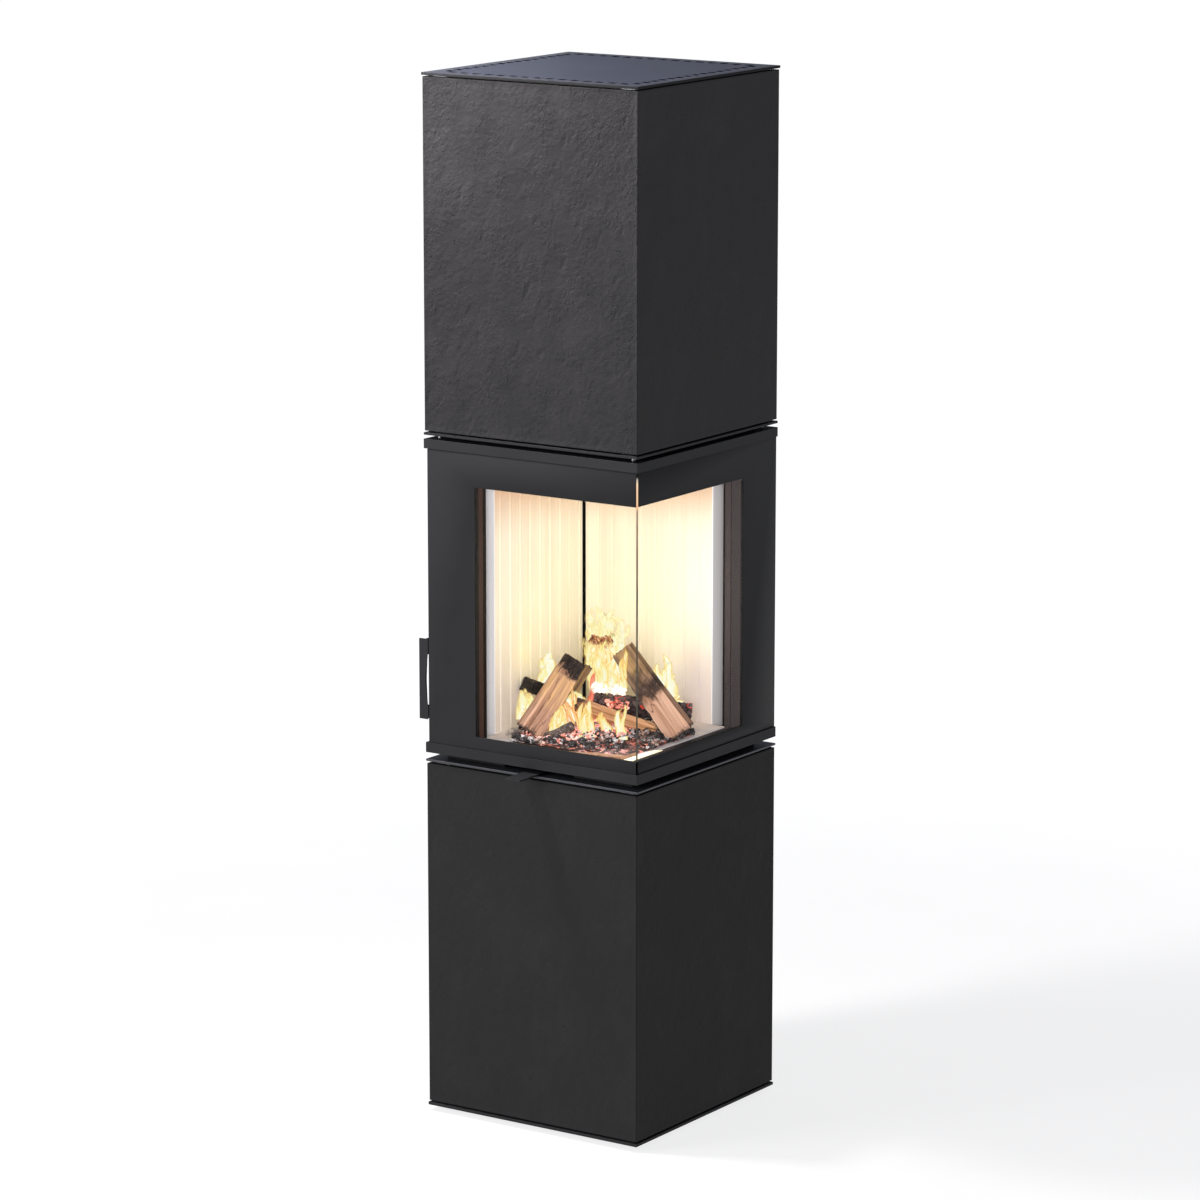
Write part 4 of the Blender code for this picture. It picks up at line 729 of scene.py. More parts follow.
def cordFinish(name):
    # near black: a cord's colour together with painted shade for the deep joint
    material, place = startMaterial(name)
    twist = addNode(place.id_data, "ShaderNodeTexWave", {"Vector": place, "Scale": 90.0, "Distortion": 1.5},
                    bands_direction="Z").outputs["Fac"]
    return dressed(material, {
        "Base Color": ramp(twist, [(0.2, 0.002), (0.9, 0.008)]),
        "Normal": bump(twist, 0.6, 0.0008),
        "Roughness": 1.0,
        "Specular IOR Level": 0.05})


print("firebox trims")
rustBoard = rustBoardFinish("scorchedBoard")
glowingStripSkin = slabFinish("cornerStrip", {**slabLook, "pale": (0.98, 0.95, 0.76), "ashy": (0.92, 0.86, 0.66),
                                       "sootX": (0.9, 1.0)})
# painted light: the corner strip glows so that it shows pale, though it stands in shade
dressed(glowingStripSkin, {"Emission Color": (0.56, 0.48, 0.26), "Emission Strength": 1.0})
level = trim["boardZ"]
for name, outline, low, high, skin, slotName in (
        ("liningJointCord", rectangle(*trim["cordX"], *trim["cordY"]), *trim["cordZ"], cordFinish("jointShadeCord"),
         "rope"),
        ("cornerBoard", trim["board"], level, level + 0.0012, rustBoard, "firebox_steel"),
        ("cornerBoardStep", trim["step"], level + 0.0013, level + 0.0026, rustBoard, "firebox_steel"),
        ("cornerStrip", trim["strip"], level, level + 0.0016, glowingStripSkin, "fireclay")):
    finishPiece(name, flatPlate(outline, low, high, 0.0003), [skin], "stove", (), 40)


# bright sleeves on the spacers of the upper gap, screw heads on the back panels
fixings = {"sleeve": {"at": 0.204, "inner": 0.00352, "outer": 0.0039, "low": 1.2262, "high": 1.2326, "segments": 28},
           "screw": {"radius": 0.0042, "height": 0.0022, "lift": 0.00008, "face": 0.2135,
                     "across": (-0.2015, -0.0672, 0.0672, 0.2015)},
           "rows": {"lower": (0.045, 0.160, 0.440, 0.615), "upper": (1.268, 1.440, 1.720, 1.833)}}


def latheBody(bm, profile, segments):
    # a ring or a head from its outline in radius and height
    before = set(bm.verts)
    verts = [bm.verts.new((radius, 0, height)) for radius, height in profile]
    edges = [bm.edges.new(pair) for pair in zip(verts, verts[1:])]
    if profile[0][0] > 0:
        edges.append(bm.edges.new((verts[-1], verts[0])))
    bmesh.ops.spin(bm, geom=verts + edges, cent=(0, 0, 0), axis=(0, 0, 1), angle=2 * math.pi, steps=segments)
    bmesh.ops.remove_doubles(bm, verts=[vert for vert in bm.verts if vert not in before], dist=0.00001)
    return [vert for vert in bm.verts if vert not in before]


def spacerSleeves(name, settings, finish):
    bm = bmesh.new()
    profile = rectangle(*(settings[key] for key in ("inner", "outer", "low", "high")))
    for side in (-1, 1):
        for depth in (-1, 1):
            fresh = latheBody(bm, profile, settings["segments"])
            bmesh.ops.translate(bm, vec=(side * settings["at"], depth * settings["at"], 0), verts=fresh)
    finishPiece(name, bm, [finish], "stove", (), 40)


def backScrews(name, rows, settings, finish):
    # pan heads with a shallow cross slot's ring, on the panel's outer face
    bm = bmesh.new()
    radius, height = settings["radius"], settings["height"]
    profile = [(0, height * 0.72), (radius * 0.34, height * 0.76), (radius * 0.42, height),
               (radius * 0.72, height * 0.90), (radius * 0.94, height * 0.55),
               (radius, settings["lift"]), (0, settings["lift"])]
    for row in rows:
        for across in settings["across"]:
            if abs(across) < 0.1 and row not in (rows[0], rows[-1]):
                continue
            fresh = latheBody(bm, profile, 20)
            placed = Matrix.Translation((across, settings["face"], row)) @ Matrix.Rotation(math.radians(-90), 4, "X")
            bmesh.ops.transform(bm, matrix=placed, verts=fresh)
    finishPiece(name, bm, [finish], "stove", (), 40)


print("fixings")
spacerSleeves("spacerSleeves", fixings["sleeve"], bareSteel)
for level, rows in fixings["rows"].items():
    backScrews(level + "BackScrews", rows, fixings["screw"], zincSheet)


# the fire: where things lie, measured on the hearth
hearth = {"centre": Vector((0.02785, -0.02785, 0.6944)), "width": 0.3067, "facing": math.radians(34)}


def firePlace(along, across, up):
    x = along * math.cos(hearth["facing"]) - across * math.sin(hearth["facing"])
    y = along * math.sin(hearth["facing"]) + across * math.cos(hearth["facing"])
    return hearth["centre"] + Vector((x, y, up)) * hearth["width"]


# start, end and radius in shares of the hearth's width, roll in turns, and where along the log the char begins and
# is full; lit: the side towards the fire, where its light begins, its strength and where it ends
logs = {
    "log_left": {"from": (-0.457, -0.255, 0.064), "to": (-0.188, -0.155, 0.474), "radius": 0.090, "roll": 0.10,
                 "taper": (1.20, 0.98),
                 "charFrom": 0.82, "charTo": 0.85, "lowBark": 0.05, "seed": 3, "lit": (1, 0.40, 0.45, 0.80),
                 "tones": {"char": (0.016, 0.011, 0.009), "charPale": (0.060, 0.038, 0.028),
                           "ash": (0.10, 0.075, 0.06)}},
    "log_right": {"checks": 0.12, "from": (0.454, -0.242, 0.058), "to": (0.106, -0.160, 0.532), "radius": 0.112,
                  "roll": 0.90, "taper": (1.08, 0.84),
                  "charFrom": 0.47, "charTo": 0.50, "lowBark": 0.05, "seed": 8, "lit": (-1, 0.70, 0.26, 1.5),
                  "belt": 0.24,
                  "tones": {"char": (0.050, 0.030, 0.022), "charPale": (0.28, 0.16, 0.105),
                            "ash": (0.18, 0.12, 0.09)}},
    "log_cross": {"from": (0.300, -0.200, 0.036), "to": (-0.180, -0.186, 0.200), "radius": 0.050, "roll": 0.72,
                  "charFrom": 0.93, "charTo": 1.05, "lowBark": 0.05, "seed": 12,
                  "tones": {"pale": (0.76, 0.42, 0.22), "mid": (0.50, 0.24, 0.10), "deep": (0.15, 0.062, 0.026)}},
    "log_charred": {"from": (0.498, 0.030, 0.092), "to": (-0.098, 0.025, 0.176), "radius": 0.067, "roll": 0.75,
                    "charFrom": -0.6, "charTo": -0.4, "lowBark": 0.0, "seed": 17,
                    "tones": {"char": (0.035, 0.026, 0.030), "charPale": (0.20, 0.145, 0.15)}},
    "log_back": {"from": (-0.030, 0.160, 0.070), "to": (-0.485, 0.150, 0.272), "radius": 0.046, "roll": 0.20,
                 "taper": (1.0, 1.12), "gnarl": 0.55,
                 "charFrom": -0.6, "charTo": -0.4, "lowBark": 0.0, "seed": 21,
                 "tones": {"char": (0.012, 0.010, 0.009), "charPale": (0.075, 0.058, 0.045),
                           "ash": (0.20, 0.17, 0.14)}},
    # two smaller pieces that only the photo shows: a brown stick behind the left log, a burnt stump in the embers
    "brownStick": {"from": (-0.300, -0.040, 0.075), "to": (-0.108, -0.030, 0.400), "radius": 0.036, "roll": 0.12,
                   "charFrom": 0.0, "charTo": 0.20, "checks": 0.2, "lowBark": 0.0, "seed": 33,
                   "lit": (1, 0.30, 0.40, 1.5),
                   "tones": {"char": (0.045, 0.026, 0.018), "charPale": (0.26, 0.15, 0.09),
                             "ash": (0.20, 0.14, 0.10)}},
    "burntStump": {"from": (-0.345, -0.300, 0.030), "to": (-0.185, -0.290, 0.108), "radius": 0.036, "roll": 0.65,
                   "gnarl": 0.35,
                   "charFrom": 0.80, "charTo": 0.95, "lowBark": 0.0, "seed": 41, "checks": 0.6,
                   "tones": {"pale": (0.75, 0.40, 0.22), "mid": (0.42, 0.20, 0.10), "deep": (0.12, 0.05, 0.03)}}}
logShape = {"heart": 0.55, "bark": 70, "barkFrom": 0.985, "step": 0.0022, "splinter": 0.0014, "furrow": 0.0020,
            "bend": 0.0030, "barkSteps": 34, "faceCuts": 17, "crack": 0.0016, "endRings": 6, "endShrink": 0.16,
            "endFibre": 0.0035}


def logFrame(settings):
    # the log's length, and the matrix that stands it in its place
    start, end = firePlace(*settings["from"]), firePlace(*settings["to"])
    span = end - start
    lean = Matrix.Rotation(math.atan2(math.hypot(span.x, span.y), span.z), 4, "Y")
    heading = Matrix.Rotation(math.atan2(span.y, span.x), 4, "Z")
    spin = Matrix.Rotation(2 * math.pi * settings["roll"], 4, "Z")
    return span.length, Matrix.Translation(start) @ heading @ lean @ spin


woodLook = {"pale": (0.68, 0.42, 0.29), "mid": (0.53, 0.295, 0.185), "deep": (0.25, 0.115, 0.06),
            "bark": (0.075, 0.052, 0.040), "barkPale": (0.20, 0.155, 0.125),
            "char": (0.012, 0.010, 0.010), "charPale": (0.070, 0.058, 0.052), "ash": (0.42, 0.39, 0.37)}


def woodFinish(name, settings, look, glow):
    # reads the wood in the log's own frame: z runs along the log from its foot
    look = {**look, **settings.get("tones", {})}
    length, place = logFrame(settings)
    back = place.inverted()
    material, own = startMaterial(name, turn=back.to_euler("XYZ"), shift=back.translation)
    share = maths("DIVIDE", axesOf(own)["Z"], length)
    fibres = streaksAt(own, (420, 420, 9), 5, 0.6, 0.3)
    bands = streaksAt(own, (95, 95, 3.2), 4, 0.55, 0.8)
    blotch = noiseAt(own, 38, 5, 0.6, 0.6)
    tone = blended(fibres, 0.40, bands, 0.60)
    wood = ramp(tone, [(0.33, look["deep"]), (0.47, look["mid"]), (0.60, look["pale"])])
    # char creeps down from the top, in tongues
    creep = swayed(swayed(share, 0.42, blotch), 0.18, bands)
    charred = eased(creep, settings["charFrom"], settings["charTo"])
    scorch = eased(creep, settings["charFrom"] - 0.09, settings["charTo"], 0.0, 0.80)
    checks = cellsAt(scaled(own, (1, 1, 0.8)), 105, "DISTANCE_TO_EDGE", 0.9)
    crack = spread(checks.outputs["Distance"], 0.0, 0.10, settings.get("checks", 1.0), 0.0)
    burnt = times(crack, charred)
    coal = ramp(timesAdd(fibres, 0.4, blotch), [(0.50, look["char"]), (0.92, look["charPale"])])
    if "belt" in settings:
        # freshly burnt wood next to the clean part is the darkest
        belt = eased(creep, settings["charTo"], settings["charTo"] + settings["belt"], 0.72, 0.0)
        coal = mixed(belt, coal, (0.022, 0.014, 0.011))
    coal = mixed(crack, coal, (0.004, 0.003, 0.003))
    singed = mixed(scorch, wood, (0.13, 0.062, 0.032))
    surface = mixed(charred, singed, coal)
    # darker towards the log's foot, in bark colour
    footDark = eased(swayed(share, 0.20, blotch), settings["lowBark"] * 0.3, settings["lowBark"], 0.9, 0.0)
    surface = mixed(footDark, surface, look["bark"])
    # a long drying crack or two in the pale wood
    split = streaksAt(own, (60, 60, 5), 2, 0.4, 1.2)
    gash = spread(maths("ABSOLUTE", less(split, 0.5)), 0.0, 0.012, 0.85, 0.0)
    surface = mixed(gash, surface, (0.035, 0.018, 0.012))
    greyed = spread(noiseAt(own, 190, 4, 0.7), 0.60, 0.72, 0.0, 0.7)
    surface = mixed(times(greyed, charred), surface, look["ash"])
    if "lit" in settings:
        # the side towards the fire, lit orange in streaks along the fibres
        side, lowest, strength, highest = settings["lit"]
        turned = place.to_3x3().inverted() @ (firePlace(side, 0, 0) - firePlace(0, 0, 0)).normalized()
        facing = addNode(own.id_data, "ShaderNodeVectorMath", {0: own, 1: turned},
                         operation="DOT_PRODUCT").outputs["Value"]
        radius = settings["radius"] * hearth["width"]
        toward = eased(facing, radius * 0.40, radius * 0.95)
        streaks = times(toward, spread(bands, 0.42, 0.56, 0.25),
                        eased(creep, lowest - 0.12, lowest + 0.12, 0.0, strength),
                        spread(creep, highest - 0.04, highest, 1.0, 0.0))
        surface = mixed(streaks, surface, (1.0, 0.62, 0.20))
    relief = less(less(timesAdd(fibres, 0.7, bands), times(burnt, 0.9)), gash)
    # heat that shows in the cracks of the burning parts
    hot = times(burnt, spread(noiseAt(own, 26, 3), glow["low"], glow["high"]))
    return dressed(material, {
        "Base Color": surface,
        "Roughness": 0.82,
        "Specular IOR Level": 0.22,
        "Normal": bump(relief, 0.75, 0.0012),
        "Emission Color": ramp(hot, [(0.0, (0, 0, 0)), (0.35, (0.75, 0.05, 0.02)), (1.0, (1.0, 0.30, 0.12))]),
        "Emission Strength": glow["strength"]})


def barkFinish(name, look):
    material, place = startMaterial(name)
    plates = cellsAt(place, 120, "DISTANCE_TO_EDGE")
    scales = noiseAt(place, 210, 5, 0.65)
    tone = timesAdd(scales, 0.75, times(plates.outputs["Distance"], 0.6))
    return dressed(material, {
        "Base Color": ramp(tone, [(0.28, (0.018, 0.013, 0.011)), (0.46, look["bark"]), (0.66, look["barkPale"])]),
        "Roughness": 0.9,
        "Normal": bump(tone, 0.9, 0.0016)})


def splitLog(node, settings, woodMaterial, barkMaterial):
    length, place = logFrame(settings)
    radius = settings["radius"] * hearth["width"]
    seed = settings["seed"]
    bm = bmesh.new()
    # the section: bark arc spun round the heart, closed by the two split faces
    half = math.radians(logShape["bark"])
    first = bm.verts.new((radius * math.cos(half), -radius * math.sin(half), 0))
    arc = bmesh.ops.spin(bm, geom=[first], cent=(0, 0, 0), axis=(0, 0, 1), angle=2 * half,
                         steps=logShape["barkSteps"], use_merge=False)
    last = only(BMVert, arc["geom_last"])[0]
    heart = bm.verts.new((-radius * logShape["heart"], 0, 0))
    sides = [bm.edges.new((last, heart)), bm.edges.new((heart, first))]
    bmesh.ops.subdivide_edges(bm, edges=sides, cuts=logShape["faceCuts"])
    foot = bm.edges[:]
    ring = foot
    steps = round(length / logShape["step"])
    for step in range(steps):
        drawn = bmesh.ops.extrude_edge_only(bm, edges=ring)["geom"]
        ring = only(BMEdge, drawn)
        bmesh.ops.translate(bm, vec=(0, 0, length / steps), verts=only(BMVert, drawn))
    for face in bm.faces:
        middle = face.calc_center_median()
        face.material_index = 1 if math.hypot(middle.x, middle.y) > radius * logShape["barkFrom"] else 0
    # the two ends get stepped, torn fibre
    for edges in (foot, ring):
        for inset in range(logShape["endRings"]):
            drawn = bmesh.ops.extrude_edge_only(bm, edges=edges)["geom"]
            edges, verts = only(BMEdge, drawn), only(BMVert, drawn)
            middle = sum((vert.co for vert in verts), Vector()) / len(verts)
            shrink = Matrix.Scale(1 - logShape["endShrink"] * (1 + inset * 0.2), 4)
            about = Matrix.Translation(middle) @ shrink @ Matrix.Translation(-middle)
            bmesh.ops.transform(bm, matrix=about, verts=verts)
        cap = bmesh.ops.contextual_create(bm, geom=edges)["faces"]
        bmesh.ops.poke(bm, faces=cap)
    for vert in bm.verts:
        x, y, z = vert.co
        share = z / length
        angle = math.atan2(y, x)
        away = Vector((x, y, 0)).normalized() if x or y else Vector((1, 0, 0))
        if math.hypot(x, y) > radius * logShape["barkFrom"]:
            ridge = abs(wave(angle * 5, z * 26, seed)) * 2
            depth = -logShape["furrow"] * (0.35 + 0.65 * wave(x * 260, y * 260, z * 90 + seed)) * ridge
        else:
            depth = logShape["splinter"] * (wave(x * 420, y * 420, z * 10 + seed) - 0.35)
            depth += logShape["splinter"] * 1.3 * wave(x * 110, y * 110, z * 4 + seed)
        if share > settings["charFrom"]:
            nearest = noise.voronoi(Vector((x, y, z * 0.8)) * 105 + Vector((seed, 0, 0)))[0]
            depth -= logShape["crack"] * settings.get("checks", 1.0) * max(0.0, 1 - (nearest[1] - nearest[0]) * 4)
            depth -= radius * 0.10 * max(0.0, share - 0.6) * (1 + wave(x * 60, y * 60, z * 60))
        depth += radius * settings.get("gnarl", 0.0) * wave(x * 45, y * 45, z * 32 + seed)
        low, high = settings.get("taper", (1, 1))
        grow = low + (high - low) * share - 1
        vert.co += away * (depth + grow * math.hypot(x, y))
        vert.co.x += logShape["bend"] * wave(z * 7, seed, 0)
        vert.co.y += logShape["bend"] * wave(z * 7, 0, seed + 5)
        if share < 0.001 or share > 0.999:
            way = 1 if share > 0.5 else -1
            vert.co.z -= way * logShape["endFibre"] * (0.5 + wave(x * 240, y * 240, seed))
    bmesh.ops.transform(bm, matrix=place, verts=bm.verts)
    pieceName = {"log_left": "leaningLogLeft", "log_right": "leaningLogRight", "log_cross": "crossLog",
                 "log_charred": "charredLog", "log_back": "charredBranch"}.get(node, node)
    finishPiece(pieceName, bm, [woodMaterial, barkMaterial], "stove", (node,) if node in nodes else (), 50)


print("logs")
logGlow = {"hot": {"low": 0.56, "high": 0.66, "strength": 1.0}, "faint": {"low": 0.66, "high": 0.80, "strength": 0.5}}
barkSkin = barkFinish("bark", woodLook)
for node, settings in logs.items():
    burning = node in ("log_charred", "log_back")
    glow = logGlow["hot" if node == "log_charred" else "faint"]
    splitLog(node, settings, woodFinish(node + "Wood", settings, woodLook, glow),
             woodFinish(node + "Char", settings, woodLook, glow) if burning else barkSkin)


# ember bed: a low heap under loose coal, ash flakes and glowing lumps
bed = {"along": 0.510, "near": 0.560, "far": 0.330, "height": 0.062, "offset": -0.130, "corner": 3.0, "rim": -0.520,
       "segments": 110, "rings": 26, "ringStep": 0.036, "bitFlat": 0.8, "bitFacets": 3,
       "swell": (13, 0.40), "slope": 0.07, "hollow": 0.85, "ragged": 0.07,
       "low": (-0.1185, -0.1812), "high": (0.1705, 0.1225), "feet": ((-0.470, -0.270), (0.450, -0.270)),
       "footReach": 0.15}
lumps = {
    "bigLumps": {"count": 34, "sizes": (0.0075, 0.0120), "flat": 0.7, "seed": 25, "reach": 0.97, "lift": -0.015,
                 "facets": 3, "shift": 0.0},
    "looseCoals": {"count": 170, "sizes": (0.0040, 0.0100), "flat": 0.75, "seed": 5, "reach": 1.0, "lift": 0.0,
                   "facets": 2, "shift": 0.0},
    "coalGrit": {"count": 620, "sizes": (0.0018, 0.0045), "flat": 0.8, "seed": 15, "reach": 1.0, "lift": 0.010,
                 "facets": 1, "shift": 0.0},
    "ashFlakes": {"count": 900, "sizes": (0.0013, 0.0046), "flat": 0.45, "seed": 6, "reach": 0.95, "lift": 0.014,
                  "facets": 1, "shift": -0.09},
    "glowingLumps": {"count": 430, "sizes": (0.0020, 0.0066), "flat": 0.6, "seed": 7, "reach": 0.60, "lift": 0.016,
                     "facets": 1, "shift": -0.16}}


# colours from dark to pale; of what glows, the glow too
emberLooks = {
    "coal": {"stops": [(0.38, (0.010, 0.009, 0.009)), (0.54, (0.060, 0.050, 0.048)), (0.64, (0.40, 0.36, 0.35))],
             "rough": 0.75, "grain": 480},
    "ashFlakes": {"stops": [(0.38, (0.16, 0.13, 0.13)), (0.48, (0.50, 0.45, 0.44)), (0.62, (0.88, 0.84, 0.82))],
                  "rough": 0.95, "grain": 600},
    "glowingEmbers": {"stops": [(0.40, (0.30, 0.10, 0.07)), (0.60, (0.80, 0.50, 0.44))], "rough": 0.9, "grain": 420,
                      "glow": [(0.40, (0.05, 0.005, 0.0)), (0.48, (0.55, 0.11, 0.07)), (0.56, (0.92, 0.36, 0.26)),
                               (0.66, (1.0, 0.78, 0.60))]},
    "ashHeap": {"stops": [(0.36, (0.012, 0.010, 0.010)), (0.50, (0.12, 0.09, 0.08)), (0.60, (0.50, 0.42, 0.40))],
                "rough": 0.95, "grain": 700,
                "glow": [(0.50, 0.0), (0.58, (0.50, 0.07, 0.03)), (0.68, (1.0, 0.34, 0.18))]},
    "whiteHotAsh": {"stops": [(0.36, (0.60, 0.52, 0.44)), (0.60, (0.92, 0.90, 0.86))], "rough": 0.95, "grain": 600,
                    "glow": [(0.36, (0.25, 0.12, 0.06)), (0.52, (0.85, 0.72, 0.55)), (0.66, (1.0, 0.97, 0.86))]},
    "burntChunks": {"stops": [(0.40, (0.030, 0.018, 0.014)), (0.48, (0.26, 0.17, 0.13)), (0.58, (0.66, 0.55, 0.50))],
                    "rough": 0.95, "grain": 300,
                    "glow": [(0.56, 0.0), (0.64, (0.75, 0.16, 0.08)), (0.72, (1.0, 0.50, 0.30))]}}


def lumpFinish(name, look):
    material, place = startMaterial(name)
    patches = noiseAt(place, 85, 5, 0.65, 0.4)
    tone = blended(noiseAt(place, look["grain"], 4, 0.7), 0.35, patches, 0.65)
    if "glow" in look:
        dressed(material, {"Emission Color": ramp(patches, look["glow"]), "Emission Strength": 1.0})
    return dressed(material, {
        "Base Color": ramp(tone, look["stops"]),
        "Roughness": look["rough"],
        "Specular IOR Level": 0.2,
        "Normal": bump(tone, 0.9, 0.0012)})


skins = {name: lumpFinish(name, look) for name, look in emberLooks.items()}
lumpSkins = {"bigLumps": "burntChunks", "looseCoals": "coal", "coalGrit": "coal", "ashFlakes": "ashFlakes",
             "glowingLumps": "glowingEmbers", "whiteHotAsh": "whiteHotAsh", "pinkEmbers": "glowingEmbers"}


def bedPlace(along, across, up):
    # a place on the hearth, kept inside the lining and the firebox frame
    spot = firePlace(along, across, up)
    for axis in (0, 1):
        spot[axis] = min(max(spot[axis], bed["low"][axis]), bed["high"][axis])
    return spot


def fullerBy(turn):
    # how much further than a circle the heap's outline reaches that way
    power = bed["corner"]
    return (abs(math.cos(turn)) ** power + abs(math.sin(turn)) ** power) ** (-1 / power)


def bedHeight(along, across):
    # height of the heap over the hearth, in shares of its width
    power = bed["corner"]
    deep = bed["near"] if across < bed["offset"] else bed["far"]
    reach = abs(along / bed["along"]) ** power + abs((across - bed["offset"]) / deep) ** power
    scale, share = bed["swell"]
    swell = 1 + share * wave(along * scale, across * scale, 2)
    # it falls away at the stepped board and leaves the feet of the leaning logs in sight
    slope = min(1.0, max(0.0, (across - bed["rim"]) / bed["slope"]))
    for foot in bed["feet"]:
        away = math.hypot(along - foot[0], across - foot[1]) / bed["footReach"]
        slope *= 1 - bed["hollow"] * math.exp(-away ** 2)
    return bed["height"] * math.sqrt(max(0.0, 1 - reach)) * swell * slope


def emberHeap():
    bm = bmesh.new()
    bmesh.ops.create_circle(bm, cap_ends=True, segments=bed["segments"], radius=1)
    disc = bm.faces[:]
    for ring in range(bed["rings"]):
        bmesh.ops.inset_region(bm, faces=disc, thickness=bed["ringStep"], use_even_offset=True)
    bmesh.ops.poke(bm, faces=disc)
    for vert in bm.verts:
        away, turn = math.hypot(vert.co.x, vert.co.y), math.atan2(vert.co.y, vert.co.x)
        # from a disc to the fuller outline of the heap, with a ragged rim
        fuller = fullerBy(turn)
        ragged = 1 - bed["ragged"] * away * abs(wave(math.cos(turn) * 6, math.sin(turn) * 6, 1)) * 2
        along = vert.co.x * fuller * ragged * bed["along"]
        across = vert.co.y * fuller * ragged * (bed["near"] if vert.co.y < 0 else bed["far"]) + bed["offset"]
        up = bedHeight(along, across)
        rough = wave(along * 60, across * 60, 4) * 0.012 + wave(along * 150, across * 150, 9) * 0.008
        vert.co = bedPlace(along, across, max(0.0, up - 0.006 + rough * min(1.0, up * 40)))
    bmesh.ops.holes_fill(bm, edges=[edge for edge in bm.edges if edge.is_boundary])
    finishPiece("emberHeap", bm, [skins["ashHeap"]], "stove", ("ember_bed",), 60)


# how far lumps are pulled out of round and chipped: ranges per axis, scale and depth of the noise, tilt
lumpShape = {"stretch": ((0.7, 1.6), (0.6, 1.1), (0.7, 1.3)), "coarse": (1.7, 0.55), "fine": (4.1, 0.30), "tilt": 0.8}


def addLump(bm, spot, size, flat, facets, picks):
    # one broken lump: a small ball pulled out of round and laid at a tilt
    made = bmesh.ops.create_icosphere(bm, subdivisions=facets, radius=size)["verts"]
    along, across, up = (picks.uniform(*reach) for reach in lumpShape["stretch"])
    (coarse, deep), (fine, shallow) = lumpShape["coarse"], lumpShape["fine"]
    shift = picks.uniform(0, 90)
    aside, onward = Vector((shift, 0, 0)), Vector((0, shift, 0))
    for vert in made:
        way = vert.co.normalized()
        chip = 1 + deep * noise.noise(way * coarse + aside) + shallow * noise.noise(way * fine + onward)
        vert.co = Vector((vert.co.x * along, vert.co.y * across, vert.co.z * flat * up)) * chip
    turned = Matrix.Rotation(picks.uniform(0, 6.28), 4, "Z")
    tilted = Matrix.Rotation(picks.uniform(-lumpShape["tilt"], lumpShape["tilt"]), 4, "X")
    bmesh.ops.transform(bm, matrix=Matrix.Translation(spot) @ turned @ tilted, verts=made)
    low = min(vert.co.z for vert in made)
    if low < hearth["centre"].z:
        bmesh.ops.translate(bm, vec=(0, 0, hearth["centre"].z - low), verts=made)


def looseLumps(name, settings, skin):
    picks = random.Random(settings["seed"])
    bm = bmesh.new()
    for index in range(settings["count"]):
        turn, reach = picks.uniform(0, 2 * math.pi), math.sqrt(picks.random()) * settings["reach"]
        fuller = fullerBy(turn)
        along = settings["shift"] + bed["along"] * reach * fuller * math.cos(turn)
        across = bed["offset"] + bed["near" if turn > math.pi else "far"] * reach * fuller * math.sin(turn)
        size = picks.uniform(*settings["sizes"]) * picks.uniform(0.7, 1.0)
        if across < bed["rim"] + 0.02 * picks.random():
            continue
        if size > 0.0035 and min(math.hypot(along - foot[0], across - foot[1])
                                 for foot in bed["feet"]) < bed["footReach"]:
            continue
        spot = bedPlace(along, across, bedHeight(along, across) + settings["lift"] * picks.random())
        addLump(bm, spot, size, settings["flat"], settings["facets"], picks)
    finishPiece(name, bm, [skin], "stove", (), 30)


hotAsh = {
    "whiteHotAsh": {"count": 230, "sizes": (0.0026, 0.0056), "seed": 31, "along": (-0.072, 0.104),
                    "across": (-0.090, -0.020), "up": (0.252, 0.300)},
    "pinkEmbers": {"count": 40, "sizes": (0.0015, 0.0038), "seed": 32, "along": (0.000, 0.130),
                   "across": (-0.045, -0.020), "up": (0.158, 0.200)}}
# bark and charcoal that lie at the leaning logs' feet: along, across and up on the hearth, and size
footBits = {
    "barkBits": ((-0.535, -0.275, 0.035, 0.0085), (-0.505, -0.300, 0.018, 0.0070), (-0.470, -0.330, 0.018, 0.0060),
                 (-0.430, -0.345, 0.014, 0.0055), (-0.395, -0.340, 0.016, 0.0060), (0.470, -0.215, 0.022, 0.0075),
                 (0.500, -0.175, 0.030, 0.0080), (0.425, -0.265, 0.016, 0.0055), (0.515, -0.120, 0.024, 0.0070)),
    "ashBits": ((-0.500, -0.318, 0.034, 0.0042), (-0.485, -0.325, 0.040, 0.0036), (-0.455, -0.340, 0.034, 0.0040),
                (-0.445, -0.345, 0.024, 0.0036), (-0.475, -0.345, 0.014, 0.0040), (-0.415, -0.355, 0.028, 0.0030))}


def hotAshOnLog(name, settings, skin):
    # ash that glows white on top of the charred log, with pink lumps down its face
    picks = random.Random(settings["seed"])
    bm = bmesh.new()
    for index in range(settings["count"]):
        spot = [picks.uniform(*settings[axis]) for axis in ("along", "across", "up")]
        spot[2] -= 0.16 * max(0.0, spot[0])
        addLump(bm, firePlace(*spot), picks.uniform(*settings["sizes"]), 0.7, 1, picks)
    finishPiece(name, bm, [skin], "stove", (), 30)


print("ember bed")
emberHeap()
for name, settings in lumps.items():
    looseLumps(name, settings, skins[lumpSkins[name]])
for name, settings in hotAsh.items():
    hotAshOnLog(name, settings, skins[lumpSkins[name]])
for name, spots in footBits.items():
    bits, picks = bmesh.new(), random.Random(len(name))
    for *spot, size in spots:
        addLump(bits, bedPlace(*spot), size, bed["bitFlat"], bed["bitFacets"], picks)
    finishPiece(name, bits, [skins["coal" if name == "barkBits" else "ashFlakes"]], "stove", (), 30)


